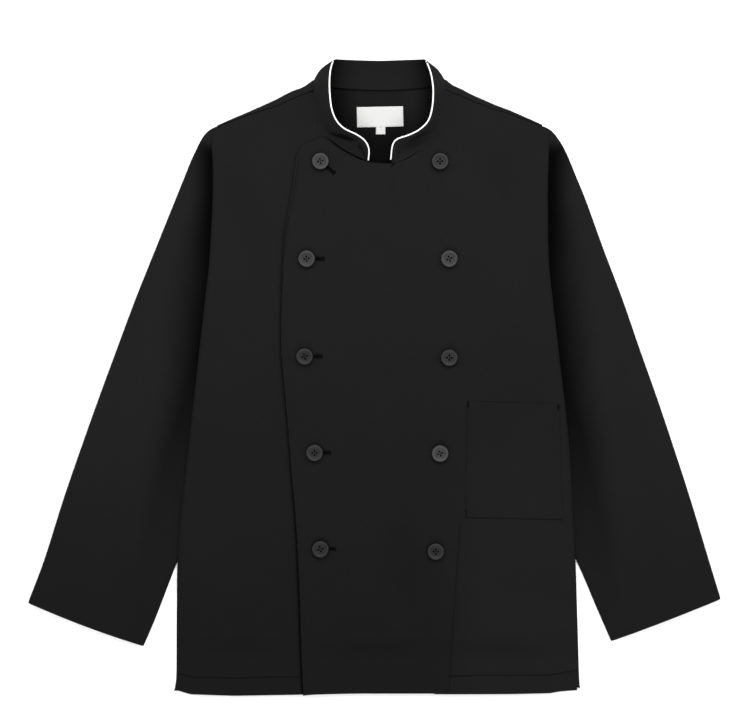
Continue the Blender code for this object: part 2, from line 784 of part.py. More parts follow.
def main():
    """Builds the jacket."""
    clear_scene()
    materials = {name: make_material(name) for name in COLOURS}
    cloth = materials["black_twill"]
    make_back(cloth)
    upper_front = make_fronts(cloth)
    make_sleeves(cloth)
    make_collar(cloth, materials["white_piping"])
    slab("patch_pocket", (POCKET_BOTTOM, POCKET_TOP), upper_front_top, CLOTH, cloth, 6)
    satin = materials["label_satin"]
    slab("main_label", rectangle(LABEL_CENTRE, LABEL_SIZE), back_inside, LABEL_THICKNESS, satin, 2)
    slab("size_tab", rectangle(TAB_CENTRE, TAB_SIZE), back_inside, LABEL_THICKNESS, satin, 1)
    make_buttons(materials["dark_button"], materials["black_thread"], upper_front)


main()
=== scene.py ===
"""Looks of the chef jacket that lies flat with its front up.

Each cut piece is a thin shell of cloth over the form of its solid, with its hem or
facing turned in, and its own creases. Metres, +Z up, the collar towards +Y. Left and
right in names are the wearer's, so left stands at +X.
"""
import math

import bmesh
import bpy
import numpy as np
from bpy.props import FloatProperty, FloatVectorProperty, PointerProperty
from mathutils import Matrix, Vector


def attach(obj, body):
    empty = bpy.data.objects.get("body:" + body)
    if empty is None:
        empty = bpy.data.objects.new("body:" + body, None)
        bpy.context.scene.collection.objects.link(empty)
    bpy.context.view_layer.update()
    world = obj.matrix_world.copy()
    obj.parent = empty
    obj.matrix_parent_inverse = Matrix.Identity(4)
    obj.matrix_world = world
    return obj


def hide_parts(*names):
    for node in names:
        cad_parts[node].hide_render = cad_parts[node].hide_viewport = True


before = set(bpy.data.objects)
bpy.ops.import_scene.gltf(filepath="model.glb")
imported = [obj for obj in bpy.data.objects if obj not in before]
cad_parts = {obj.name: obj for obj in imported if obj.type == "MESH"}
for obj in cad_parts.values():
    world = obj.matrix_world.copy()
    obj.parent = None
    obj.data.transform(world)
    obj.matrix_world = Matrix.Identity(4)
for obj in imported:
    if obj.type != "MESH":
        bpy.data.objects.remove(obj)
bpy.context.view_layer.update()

bl_info = {
    "name": "Chef Jacket",
    "version": (1, 0, 0),
    "blender": (4, 5, 0),
    "location": "View3D > Sidebar > Jacket",
    "description": "Builds the cloth, trimmings and stage of a chef jacket laid flat",
    "category": "Add Mesh",
}

# Layers: the solids' walls are thicker than the cloth that is shown on them
SOLID_WALL = 0.0012       # thickness of a layer of the solids
SEAM_GAP = 0.0003         # air between pieces that touch
LOFT = 0.0016             # air left between the front and the back
WALL = 0.0008             # thickness of the cloth shown
TURN = 0.00085            # radius at which cloth is turned back on itself
OVERLAP_LIFT = 0.0016     # how much the overlap's edge stands off near the hem
UPPER_STEP = 0.0020       # what the upper front and its facing add to the height
FACING_STEP = 0.0004      # how much of it shows past the facing's inner edge
POCKET_STEP = 0.0008      # what the pocket adds
MERGE = 0.00002           # points closer than this are one point
PITCH = 0.0045            # usual width of a cell of cloth
SOFT_EDGE = 0.0004        # cells this narrow round off an open edge

# Body over sleeves
SLEEVE_TUCKED = 0.0034    # height of the sleeve where the body lies on it
FOLD_GAP = 0.0006         # clearance of the side folds over what is below
SIDE_ROLL = 0.0050        # width of the rounded fold down the side of the body
SIDE_LIFT = 0.0022        # how much higher the front stands along its side folds
SIDE_LIFT_WIDTH = 0.030
SIDE_LIFT_RAMP = 0.090    # and it starts over this length below the crotch
CROTCH_Y = -0.205         # height where the sleeve comes out from under the body
CROTCH_CLEAR = 0.010
CROTCH_RAMP = 0.050
UNDERARM_Y = 0.024        # bottom of the armhole
UNDERARM_CLEAR = 0.020
UNDERARM_RAMP = 0.050
BACK_CLEAR = 0.026        # the back stays up this far past the sleeve's inner edge
BACK_RAMP = 0.024         # and then comes down over this width
FRONT_CLEAR = 0.030
FRONT_RAMP = 0.080
OVERLAP_CLEAR = 0.015     # the upper front stays up this far past the under front
OVERLAP_RAMP = 0.080

# Sleeves
SLEEVE_FULL = 0.0100      # height of the sleeve away from the body
SLEEVE_RISE = 0.062       # distance over which it fills out
SLEEVE_ROLL = 0.0060      # width of the rounded folds along it
SLEEVE_TIP_Y = 0.2560     # above this the sleeve stands level with the shoulder
CUFF_HEM = 0.025
CUFF_BOW = {-1: 0.0020, 1: 0.0008}  # how far the middle of each cuff stands out

# Hems and stitching
HEM = 0.0186              # depth of the turned hem
HEM_RISE = 0.0007         # how much thicker the hem makes the cloth
HEM_FLOOR = 0.0002        # the turned hem comes no closer to the floor
STITCH_SINK = 0.00045     # how deep a row of stitches pulls the cloth in
STITCH_WIDTH = 0.0009     # half the width of that trough
EDGE_STITCH = 0.0055      # distance of the row of stitches inside the overlap's edge
HEM_ROWS = 7              # rows of a panel's grid from its hem to the hem's stitches
FACING_COLUMNS = 44       # columns of the upper front that its facing lies under

# Shoulders and neck
ROLL_FLATNESS = 0.6
STRIP_MIN = 0.0019        # strips narrower than this have no seam to the front
SHOULDER_FROM_X = {-1: 0.0720, 1: 0.0795}
NECK_CENTRE_X = 0.0063
BACK_NECK_HALF = 0.066
BACK_NECK_RAMP = 0.010
BACK_NECK_Y = 0.320

# Collar
COLLAR_SPACE = 0.0014     # between the outer faces of its two layers
COLLAR_BULGE = 0.0016     # how far the band rolls outwards between seam and rim
PIPING_RADIUS = 0.00083

# Labels: centre and size
LABEL_CENTRE = (0.0064, 0.2982)
LABEL_SIZE = (0.0530, 0.0232)
TAB_CENTRE = (0.0071, 0.2848)
TAB_SIZE = (0.0108, 0.0130)
LABEL_WALL = 0.0005

# Buttons
BUTTON_STAND = 0.0016     # height of the button over the cloth
BUTTON_HOLE_RADIUS = 0.00112
BUTTON_HOLE_REACH = 0.0026
BUTTON_HOLE_TURN = math.radians(10)
BUTTON_TILT = 1.5         # most that a button leans, in degrees
BUTTON_SPIN = 12          # most that one is turned from the first
BUTTON_WELL = 0.0022      # height of its dished face, where the thread crosses
DISH_RADIUS = 0.0060
RIM_SHADOW_RADIUS = 0.0091       # outside this the rim gets painted shadow
STRAND_GAP = 0.00022      # between the two threads from hole to hole
STRAND_RADIUS = 0.00012
SLIT_BEHIND = 0.0030      # a buttonhole starts this far behind its button's centre
SLIT_SHORT = 0.0012       # and is slit to this far short of its reach
SLIT_WIDTH = 0.0007
SLIT_CUT = 0.012          # height of what cuts it, and of its middle over the cloth
SLIT_CUT_LIFT = 0.0045
PURL_INNER = 0.00025      # the purl stitches run from here to there beside the slit
PURL_OUTER = 0.0026
PURL_PITCH = 0.00042
PURL_RADIUS = 0.00026
TACK_PITCH = 0.00045      # between the stitches of a bar tack

# Painted shade and light: shares of the cloth's colour that it keeps or loses where less light comes,
# carried by the shade attribute
HEM_GROOVE_SHADE = ((-1, 0.25), (0, 0.60), (1, 0.25))  # painted shade in the rows at the hem's stitches
FRONT_SHADE_SHARE = 0.90         # share that the painted shade leaves the fronts at the chest
POCKET_PAINTED_LIGHT = 0.08        # painted light that they gain beside and below the pocket
HEM_PAINTED_SHADE = 0.14           # painted shade that they lose towards the hem
CHEST_PAINTED_SHADE = 0.15         # share of painted shade that they lose from the chest down
TROUGH_PAINTED_SHADE = 110         # share of painted shade for each metre of a crease's depth
TROUGH_LIMIT = 0.0014     # deepest trough that counts
OVERLAP_SHADOW = (0.42, 0.50)  # loss beside the overlap, higher up and more near the hem
OVERLAP_SHADOW_WIDTH = 0.0017
FACING_SHADOW = 0.30      # loss along the facing's inner edge
BACK_PAINTED_SHADE = (0.22, 0.48, 0.20, 0.60)  # painted shade inside the back: low, gain upwards, right, loss aside
SLEEVE_PAINTED_SHADE = (0.05, 0.90, 0.92)  # painted shade beside the body, gain away from it, and towards the cuff
CUFF_PAINTED_SHADE = 0.6           # painted shade inside the cuff
COLLAR_SEAM_SHADOW = 0.93  # loss where the collar's seam gapes
INNER_COLLAR_PAINTED_SHADE = (0.12, 0.86, 0.93, 0.66)  # painted shade of the inner collar: its ends, gain from them, back, loss at corners

# Side folds of the body
SIDES = (
    # y,      x_right,  x_left
    (-0.3560, -0.2284, 0.2349),
    (-0.3410, -0.2264, 0.2338),
    (-0.2850, -0.2261, 0.2322),
    (-0.2190, -0.2252, 0.2299),
    (-0.1620, -0.2217, 0.2270),
    (-0.0710, -0.2115, 0.2217),
    (0.0205, -0.2012, 0.2115),
    (0.0890, -0.1935, 0.2035),
    (0.1345, -0.1885, 0.1989),
    (0.2030, -0.1848, 0.1978),
    (0.2480, -0.1848, 0.1987),
    (0.2700, -0.1868, 0.1997),
    (0.2830, -0.1890, 0.2003),
)

# Height of the hem at each side fold
HEM_CORNERS = {-1: -0.3560, 1: -0.3528}

# Edge of the overlap on the upper front, from the hem up
OVERLAP_EDGE = (
    # x,      y
    (-0.0815, -0.3618),
    (-0.0838, -0.3100),
    (-0.0861, -0.2400),
    (-0.0895, -0.1730),
    (-0.0952, -0.1050),
    (-0.1010, -0.0360),
    (-0.1061, 0.0200),
    (-0.1072, 0.0550),
    (-0.1055, 0.1120),
    (-0.1032, 0.1570),
    (-0.0930, 0.2140),
    (-0.0880, 0.2500),
)

# Top of the upper front, from the overlap's corner along the neckline to the shoulder
UPPER_NECKLINE = (
    (-0.0880, 0.2500),
    (-0.0868, 0.2580),
    (-0.0840, 0.2636),
    (-0.0792, 0.2668),
    (-0.0690, 0.2706),
    (-0.0587, 0.2747),
    (-0.0453, 0.2646),
    (-0.0350, 0.2574),
    (-0.0205, 0.2501),
    (-0.0089, 0.2472),
    (0.0029, 0.2451),
    (0.0200, 0.2446),
    (0.0330, 0.2480),
    (0.0462, 0.2555),
    (0.0600, 0.2680),
    (0.0690, 0.2800),
    (0.0745, 0.2950),
    (0.0768, 0.3140),
    (0.0775, 0.3298),
)

# Top of the under front, from the shoulder along the neckline to its hidden corner
UNDER_NECKLINE = (
    (-0.0690, 0.3262),
    (-0.0676, 0.3215),
    (-0.0672, 0.3130),
    (-0.0622, 0.2935),
    (-0.0570, 0.2790),
    (-0.0453, 0.2662),
    (-0.0350, 0.2590),
    (-0.0205, 0.2517),
    (-0.0100, 0.2450),
    (0.0100, 0.2425),
    (0.0350, 0.2440),
    (0.0650, 0.2500),
    (0.0950, 0.2560),
)

# Hidden edge of the under front, from the hem up
UNDER_EDGE = (
    (0.0880, -0.3560),
    (0.0930, -0.2000),
    (0.1050, -0.0500),
    (0.1130, 0.0600),
    (0.1080, 0.1500),
    (0.0950, 0.2560),
)

# Hems between the side folds, or between a side fold and the front's edge
UNDER_HEM = (
    (-0.2100, -0.3602),
    (-0.1600, -0.3619),
    (-0.0850, -0.3606),
    (0.0000, -0.3585),
)
UPPER_HEM = (
    (-0.0700, -0.3608),
    (-0.0200, -0.3598),
    (0.1600, -0.3598),
    (0.2000, -0.3589),
    (0.2150, -0.3562),
)
BACK_HEM = (
    (-0.1700, -0.3600),
    (0.1800, -0.3595),
)

# Top of the back, from shoulder to shoulder through the back neck, with the width
# of the strip that rolls over to the shoulder seam
BACK_TOP = (
    # x,      y,       strip
    (-0.1800, 0.2879, 0.0020),
    (-0.1659, 0.2943, 0.0025),
    (-0.1397, 0.3055, 0.0040),
    (-0.1134, 0.3175, 0.0072),
    (-0.1020, 0.3236, 0.0080),
    (-0.0929, 0.3279, 0.0080),
    (-0.0832, 0.3314, 0.0080),
    (-0.0767, 0.3352, 0.0095),
    (-0.0705, 0.3398, 0.0100),
    (-0.0655, 0.3405, 0.0000),
    (-0.0590, 0.3365, 0.0000),
    (-0.0440, 0.3325, 0.0000),
    (0.0063, 0.3305, 0.0000),
    (0.0560, 0.3325, 0.0000),
    (0.0700, 0.3370, 0.0000),
    (0.0760, 0.3410, 0.0000),
    (0.0815, 0.3404, 0.0090),
    (0.0876, 0.3352, 0.0085),
    (0.0942, 0.3319, 0.0082),
    (0.1004, 0.3292, 0.0075),
    (0.1089, 0.3244, 0.0068),
    (0.1248, 0.3173, 0.0060),
    (0.1400, 0.3107, 0.0050),
    (0.1536, 0.3057, 0.0040),
    (0.1797, 0.2943, 0.0025),
    (0.1915, 0.2888, 0.0020),
)

# Sleeves, from the armhole to the cuff: outer fold, inner fold
SLEEVE_RIGHT = (
    # outer_x, outer_y, inner_x, inner_y
    (-0.1785, 0.2878, -0.1790, 0.0240),
    (-0.1840, 0.2858, -0.1791, 0.0140),
    (-0.1895, 0.2824, -0.1795, 0.0020),
    (-0.1950, 0.2763, -0.1801, -0.0130),
    (-0.2002, 0.2673, -0.1809, -0.0280),
    (-0.2042, 0.2592, -0.1818, -0.0410),
    (-0.2092, 0.2485, -0.1830, -0.0560),
    (-0.2183, 0.2257, -0.1858, -0.0800),
    (-0.2274, 0.2030, -0.1890, -0.1000),
    (-0.2502, 0.1460, -0.1965, -0.1400),
    (-0.2730, 0.0890, -0.2040, -0.1650),
    (-0.2942, 0.0320, -0.2130, -0.1870),
    (-0.3152, -0.0250, -0.2255, -0.2110),
    (-0.3355, -0.0820, -0.2345, -0.2340),
    (-0.3551, -0.1390, -0.2440, -0.2590),
    (-0.3768, -0.2075, -0.2535, -0.2830),
    (-0.3950, -0.2556, -0.2633, -0.3052),
)
SLEEVE_LEFT = (
    (0.1895, 0.2884, 0.1890, 0.0240),
    (0.1958, 0.2862, 0.1891, 0.0140),
    (0.2020, 0.2824, 0.1895, 0.0020),
    (0.2077, 0.2757, 0.1901, -0.0130),
    (0.2134, 0.2674, 0.1909, -0.0280),
    (0.2180, 0.2594, 0.1918, -0.0410),
    (0.2226, 0.2488, 0.1930, -0.0560),
    (0.2318, 0.2260, 0.1955, -0.0800),
    (0.2410, 0.2033, 0.1980, -0.1000),
    (0.2615, 0.1463, 0.2040, -0.1400),
    (0.2831, 0.0893, 0.2110, -0.1650),
    (0.3028, 0.0323, 0.2200, -0.1850),
    (0.3230, -0.0247, 0.2300, -0.2075),
    (0.3421, -0.0817, 0.2400, -0.2300),
    (0.3606, -0.1387, 0.2500, -0.2540),
    (0.3816, -0.2080, 0.2600, -0.2772),
    (0.3948, -0.2512, 0.2697, -0.2995),
)

# Collar, from its right front end round the back to its left front end
COLLAR = (
    # rim_x,  rim_y,  rim_z,  seam_x,  seam_y
    (-0.0080, 0.2470, 0.0095, -0.0095, 0.2476),
    (-0.0072, 0.2590, 0.0150, -0.0130, 0.2492),
    (-0.0112, 0.2678, 0.0185, -0.0205, 0.2526),
    (-0.0205, 0.2747, 0.0210, -0.0345, 0.2598),
    (-0.0348, 0.2816, 0.0225, -0.0460, 0.2680),
    (-0.0439, 0.2907, 0.0235, -0.0570, 0.2780),
    (-0.0496, 0.3044, 0.0240, -0.0655, 0.2935),
    (-0.0519, 0.3238, 0.0240, -0.0690, 0.3120),
    (-0.0519, 0.3420, 0.0220, -0.0700, 0.3270),
    (-0.0500, 0.3540, 0.0200, -0.0699, 0.3355),
    (-0.0474, 0.3603, 0.0180, -0.0684, 0.3398),
    (-0.0435, 0.3622, 0.0160, -0.0610, 0.3378),
    (-0.0370, 0.3622, 0.0140, -0.0455, 0.3325),
    (-0.0200, 0.3616, 0.0120, -0.0200, 0.3303),
    (0.0063, 0.3611, 0.0110, 0.0063, 0.3292),
    (0.0330, 0.3618, 0.0120, 0.0340, 0.3303),
    (0.0490, 0.3622, 0.0140, 0.0580, 0.3325),
    (0.0552, 0.3622, 0.0160, 0.0720, 0.3378),
    (0.0590, 0.3603, 0.0180, 0.0793, 0.3402),
    (0.0622, 0.3540, 0.0200, 0.0806, 0.3360),
    (0.0658, 0.3420, 0.0220, 0.0808, 0.3270),
    (0.0678, 0.3238, 0.0240, 0.0800, 0.3120),
    (0.0661, 0.3035, 0.0240, 0.0765, 0.2935),
    (0.0612, 0.2897, 0.0235, 0.0690, 0.2765),
    (0.0510, 0.2800, 0.0225, 0.0580, 0.2650),
    (0.0388, 0.2742, 0.0210, 0.0450, 0.2555),
    (0.0262, 0.2700, 0.0185, 0.0330, 0.2488),
    (0.0212, 0.2632, 0.0150, 0.0255, 0.2460),
    (0.0192, 0.2475, 0.0100, 0.0205, 0.2452),
)

# Folds pressed into the outer layer of the collar
COLLAR_FOLDS = (
    # from_x, from_y, to_x,    to_y,   width,  height
    (-0.0520, 0.2792, -0.0250, 0.2690, 0.0016, -0.0017),
    (-0.0400, 0.2765, -0.0210, 0.2700, 0.0014, -0.0014),
    (-0.0185, 0.2640, -0.0150, 0.2610, 0.0020, -0.0013),
    (-0.0150, 0.2630, -0.0100, 0.2500, 0.0012, -0.0007),
    (-0.0420, 0.2700, -0.0180, 0.2560, 0.0030, 0.0006),
    (0.0410, 0.2700, 0.0620, 0.2790, 0.0018, -0.0010),
    (0.0330, 0.2625, 0.0560, 0.2700, 0.0040, -0.0006),
    (0.0280, 0.2640, 0.0270, 0.2500, 0.0012, -0.0006),
)

# Buttons: the outer column goes through the buttonholes. A buttonhole's reach is
# measured from the button's centre and its slope is the fall to the right.
BUTTONS = (
    # x,      y,      buttonhole reach, slope in degrees, lightness given to the button
    (-0.0616, 0.2468, 0.0215, 40, 0.88),
    (-0.0773, 0.1357, 0.0205, 0, 0.76),
    (-0.0796, 0.0245, 0.0203, 0, 0.43),
    (-0.0682, -0.0852, 0.0188, 0, 0.47),
    (-0.0616, -0.1949, 0.0178, 0, 0.38),
    (0.0747, 0.2466, None, 0, 0.54),
    (0.0852, 0.1357, None, 0, 0.84),
    (0.0852, 0.0231, None, 0, 0.49),
    (0.0747, -0.0860, None, 0, 0.93),
    (0.0698, -0.1976, None, 0, 0.40),
)

# Patch pocket on the upper front: corners as x, y
POCKET_TOP = ((0.1055, -0.0274), (0.2105, -0.0304))
POCKET_BOTTOM = ((0.1037, -0.1596), (0.2140, -0.1619))
POCKET_SIZE = (0.108, 0.132)
POCKET_HEM = 0.0125
POCKET_SEAM = 0.0020      # distance of its stitches from its edge
POCKET_PUFF = 0.0003      # how much it stands up inside its seams
POCKET_GAPE = 0.0002      # how much its mouth stands open
POCKET_TURN = 0.00042     # radius of the turned mouth
POCKET_WALL = 0.0004

# Facing of the upper front: where its inner edge shows through
FACING_LINE = (
    (0.0975, -0.1660),
    (0.0929, -0.2300),
    (0.0872, -0.3210),
    (0.0849, -0.3590),
)

# Bar tacks: at the neck, at the pocket's top corners and at its lower right corner
TACKS = (
    # x,     y,       length, width,  degrees
    (0.0212, 0.2430, 0.0062, 0.0018, 42),
    (0.1066, -0.0300, 0.0066, 0.0026, 90),
    (0.2094, -0.0334, 0.0066, 0.0026, 90),
    (0.1046, -0.1550, 0.0088, 0.0014, 90),
)

# Creases of the fronts: a soft ridge, or a trough where the height is negative
CREASES = (
    # from_x, from_y, to_x,   to_y,   width,  height
    (-0.2150, -0.3060, -0.1000, -0.3080, 0.0110, -0.0010),
    (-0.1950, -0.3290, -0.1000, -0.3300, 0.0090, 0.0008),
    (-0.0650, -0.3120, 0.0750, -0.3080, 0.0120, -0.0013),
    (-0.0500, -0.3350, 0.0550, -0.3340, 0.0090, 0.0009),
    (0.0880, -0.3080, 0.1950, -0.3120, 0.0110, -0.0014),
    (0.0980, -0.3330, 0.2150, -0.3320, 0.0090, 0.0010),
    (-0.2050, -0.2700, -0.1300, -0.2400, 0.0160, 0.0007),
    (0.0180, 0.2330, 0.0270, 0.1780, 0.0060, -0.0006),
    (0.0400, 0.2300, 0.0360, 0.1900, 0.0070, 0.0006),
    (-0.0100, 0.1620, 0.0150, 0.1500, 0.0080, -0.0004),
    (-0.1500, -0.0300, -0.1350, -0.1900, 0.0180, 0.0008),
    (-0.1700, 0.1200, -0.1650, -0.0200, 0.0160, 0.0006),
    (0.1400, 0.1500, 0.1500, 0.0300, 0.0200, 0.0008),
    (0.0300, -0.1200, 0.0350, -0.2600, 0.0220, -0.0007),
    (-0.0200, 0.1000, -0.0150, -0.0400, 0.0240, 0.0006),
    (-0.1650, 0.2350, -0.1300, 0.1600, 0.0160, -0.0006),
    (0.1300, 0.2700, 0.1500, 0.2000, 0.0160, -0.0006),
    (0.1050, -0.2000, 0.1900, -0.2400, 0.0140, 0.0006),
)

# Creases of the sleeves, on both sides
SLEEVE_CREASES = (
    (0.2560, -0.2010, 0.2680, -0.2060, 0.0022, 0.0007),
    (0.2950, -0.1850, 0.3110, -0.1920, 0.0025, 0.0004),
    (0.2480, 0.0600, 0.2900, -0.0300, 0.0100, -0.0006),
    (0.3050, -0.0700, 0.3300, -0.1600, 0.0110, 0.0006),
    (-0.2450, -0.1950, -0.2620, -0.2080, 0.0060, 0.0006),
    (-0.2700, 0.0200, -0.3000, -0.0900, 0.0110, -0.0006),
    (-0.3100, -0.1000, -0.3350, -0.1900, 0.0100, 0.0006),
)

# Stage: soft boxes and the camera, which looks straight down
SOFT_BOXES = (
    # name, place, point that it looks at, size, watts
    ("soft_box_top", (0.15, 1.5, 1.65), (0, 0.1, 0), (2.4, 1.4), 66),
    ("soft_box_bottom", (0, -1.7, 1.5), (0, -0.1, 0), (2.4, 1.2), 42),
    ("soft_box_left", (-2.2, 0.6, 0.9), (-0.1, 0.1, 0), (1.0, 1.8), 22),
    ("soft_box_right", (2.2, 0.4, 0.9), (0.1, 0.05, 0), (1.0, 1.8), 20),
)
LENS = 100.0              # millimetres, as is the sensor
SENSOR = 36.0
VIEW_CENTRE = (0.0006, 0.0182)
VIEW_WIDTH = 0.855        # width that the camera takes in
VIEW_LEVEL = 0.006        # height at which it does

COLOURS = {
    # what it is: sRGB
    "cloth": "171717",
    # painted shade: the colour that the twill is mixed towards where shade is painted
    "deep": "000000",
    "piping": "E6E5E2",
    "label": "B6B6B5",
    "button": "353535",
    "thread": "0F0F0F",
}


# ---------------------------------------------------------------- colours and nodes

def linear(text):
    """Turns an sRGB hex value into linear red, green and blue."""
    values = [int(text[start:start + 2], 16) / 255 for start in (0, 2, 4)]
    return tuple(v / 12.92 if v <= 0.04045 else ((v + 0.055) / 1.055) ** 2.4 for v in values)


def add_node(tree, kind, settings=(), **links):
    """Adds a node; settings holds its properties and socket values, links its inputs."""
    node = tree.nodes.new(kind)
    for key, value in dict(settings).items():
        if key in node.inputs:
            node.inputs[key].default_value = value
        else:
            setattr(node, key, value)
    for key, source in links.items():
        tree.links.new(source, node.inputs[key.replace("_", " ")])
    return node


def new_material(name, finish):
    """Gives the named material's node tree, with a shader that has the finish's values."""
    material = bpy.data.materials.get(name) or bpy.data.materials.new(name)
    material.use_nodes = True
    tree = material.node_tree
    tree.nodes.clear()
    shader = add_node(tree, "ShaderNodeBsdfPrincipled", finish)
    add_node(tree, "ShaderNodeOutputMaterial", Surface=shader.outputs["BSDF"])
    return material, tree, shader


def twill_material(settings):
    """Black polyester and cotton twill, woven and pressed.

    It gives the eye a deep, almost even black with a faint diagonal rib, a soft bloom of fibres
    where it turns away, and painted shade: a deeper black in the folds and hollows, from the shade
    attribute.
    """
    material, tree, shader = new_material("black_twill_woven", {
        "Roughness": 0.82, "Specular IOR Level": 0.02, "Sheen Weight": 0.008, "Sheen Roughness": 0.45})
    place = add_node(tree, "ShaderNodeUVMap", {"uv_map": "cloth"}).outputs["UV"]
    turned = add_node(tree, "ShaderNodeMapping", {"Rotation": (0, 0, math.radians(63))}, Vector=place)
    # Real ribs are 0.6 mm apart; they are drawn three times as wide so that they show.
    ribs = add_node(tree, "ShaderNodeTexWave", {"Scale": 0.314 / settings.rib, "Distortion": 0.6,
                                                "Detail": 1.0, "Detail Scale": 2.0},
                    Vector=turned.outputs["Vector"])
    yarn = add_node(tree, "ShaderNodeTexNoise", {"Scale": 900.0, "Detail": 3.0}, Vector=place)
    wear = add_node(tree, "ShaderNodeTexNoise", {"Scale": 14.0, "Detail": 4.0}, Vector=place)
    lint = add_node(tree, "ShaderNodeMix", {"Factor": 0.45}, A=ribs.outputs["Fac"], B=yarn.outputs["Fac"])
    # Painted shade: the shade attribute mixes the cloth colour towards the painted shade colour where less
    # light comes.
    depth = add_node(tree, "ShaderNodeAttribute", {"attribute_name": "shade"})
    deep = add_node(tree, "ShaderNodeMix", {"data_type": "RGBA"}, Factor=depth.outputs["Fac"])
    deep.inputs["A"].default_value = (*settings.painted_shade_colour, 1)
    deep.inputs["B"].default_value = (*settings.cloth_colour, 1)
    tone = add_node(tree, "ShaderNodeMapRange", {"To Min": 0.93, "To Max": 1.07},
                    Value=wear.outputs["Fac"])
    coloured = add_node(tree, "ShaderNodeVectorMath", {"operation": "SCALE"})
    tree.links.new(deep.outputs["Result"], coloured.inputs[0])
    tree.links.new(tone.outputs["Result"], coloured.inputs["Scale"])
    bump = add_node(tree, "ShaderNodeBump", {"Strength": 0.35, "Distance": 0.0004},
                    Height=lint.outputs["Result"])
    tree.links.new(coloured.outputs["Vector"], shader.inputs["Base Color"])
    tree.links.new(bump.outputs["Normal"], shader.inputs["Normal"])
    return material


def piping_material(settings):
    """White cotton bias binding over a cord, with its weave running round the cord."""
    material, tree, shader = new_material("white_piping_corded", {
        "Base Color": (*settings.piping_colour, 1), "Roughness": 0.7, "Specular IOR Level": 0.3,
        "Sheen Weight": 0.1})
    place = add_node(tree, "ShaderNodeUVMap", {"uv_map": "cloth"}).outputs["UV"]
    turned = add_node(tree, "ShaderNodeMapping", {"Rotation": (0, 0, math.radians(45))}, Vector=place)
    # Threads 0.35 mm apart, drawn at 0.9 mm so that they show.
    weave = add_node(tree, "ShaderNodeTexWave", {"Scale": 350.0, "Distortion": 0.5},
                     Vector=turned.outputs["Vector"])
    bump = add_node(tree, "ShaderNodeBump", {"Strength": 0.25, "Distance": 0.0003},
                    Height=weave.outputs["Fac"])
    tree.links.new(bump.outputs["Normal"], shader.inputs["Normal"])
    return material


def label_material(settings):
    """White woven satin, blank: fine close threads that give a smooth, faintly ribbed face."""
    material, tree, shader = new_material("white_satin_woven", {"Roughness": 0.5,
                                                                "Specular IOR Level": 0.3})
    place = add_node(tree, "ShaderNodeUVMap", {"uv_map": "cloth"}).outputs["UV"]
    # Threads 0.2 mm apart, drawn at 0.8 mm so that they show.
    weave = add_node(tree, "ShaderNodeTexWave", {"Scale": 390.0, "bands_direction": "Y"}, Vector=place)
    tone = add_node(tree, "ShaderNodeMix", {"data_type": "RGBA"}, Factor=weave.outputs["Fac"])
    tone.inputs["A"].default_value = (*[0.93 * value for value in settings.label_colour], 1)
    tone.inputs["B"].default_value = (*settings.label_colour, 1)
    bump = add_node(tree, "ShaderNodeBump", {"Strength": 0.2, "Distance": 0.0002},
                    Height=weave.outputs["Fac"])
    tree.links.new(tone.outputs["Result"], shader.inputs["Base Color"])
    tree.links.new(bump.outputs["Normal"], shader.inputs["Normal"])
    return material


def button_material(settings):
    """Dark grey polyester resin, turned and tumbled: satin, with faint clouds in it."""
    material, tree, shader = new_material("grey_resin_turned", {"Specular IOR Level": 0.09})
    place = add_node(tree, "ShaderNodeTexCoord").outputs["Object"]
    cloud = add_node(tree, "ShaderNodeTexNoise", {"Scale": 260.0, "Detail": 4.0}, Vector=place)
    grain = add_node(tree, "ShaderNodeTexNoise", {"Scale": 2600.0, "Detail": 2.0}, Vector=place)
    tone = add_node(tree, "ShaderNodeMix", {"data_type": "RGBA"}, Factor=cloud.outputs["Fac"])
    tone.inputs["A"].default_value = (*[0.75 * value for value in settings.button_colour], 1)
    tone.inputs["B"].default_value = (*[1.25 * value for value in settings.button_colour], 1)
    gloss = add_node(tree, "ShaderNodeMapRange", {"To Min": 0.40, "To Max": 0.52},
                     Value=cloud.outputs["Fac"])
    bump = add_node(tree, "ShaderNodeBump", {"Strength": 0.03, "Distance": 0.0001},
                    Height=grain.outputs["Fac"])
    # Each button is given its own lightness, and painted shadow makes its rim almost black below its widest
    # place.
    depth = add_node(tree, "ShaderNodeAttribute", {"attribute_name": "shade"})
    toned = add_node(tree, "ShaderNodeVectorMath", {"operation": "SCALE"})
    tree.links.new(tone.outputs["Result"], toned.inputs[0])
    tree.links.new(depth.outputs["Fac"], toned.inputs["Scale"])
    tree.links.new(toned.outputs["Vector"], shader.inputs["Base Color"])
    tree.links.new(gloss.outputs["Result"], shader.inputs["Roughness"])
    tree.links.new(bump.outputs["Normal"], shader.inputs["Normal"])
    return material


def thread_material(settings, name="black_thread_spun", lightness=1.0):
    """Black polyester sewing thread, spun: close to the cloth that it sinks into.

    Buttonholes and bar tacks have a matt twist of a deeper black.
    """
    material, tree, shader = new_material(name, {
        "Base Color": (*[lightness * v for v in settings.thread_colour], 1), "Roughness": 0.6,
        "Specular IOR Level": 0.06})
    place = add_node(tree, "ShaderNodeTexCoord").outputs["Object"]
    # Two plies turn round each other every 0.8 mm.
    ply = add_node(tree, "ShaderNodeTexWave", {"Scale": 390.0, "bands_direction": "DIAGONAL"},
                   Vector=place)
    bump = add_node(tree, "ShaderNodeBump", {"Strength": 0.4, "Distance": 0.0001},
                    Height=ply.outputs["Fac"])
    tree.links.new(bump.outputs["Normal"], shader.inputs["Normal"])
    return material


# ---------------------------------------------------------------- lines and heights

def ease(value):
    """Goes smoothly from 0 to 1 while value goes from 0 to 1."""
    value = np.clip(value, 0.0, 1.0)
    return value * value * (3.0 - 2.0 * value)


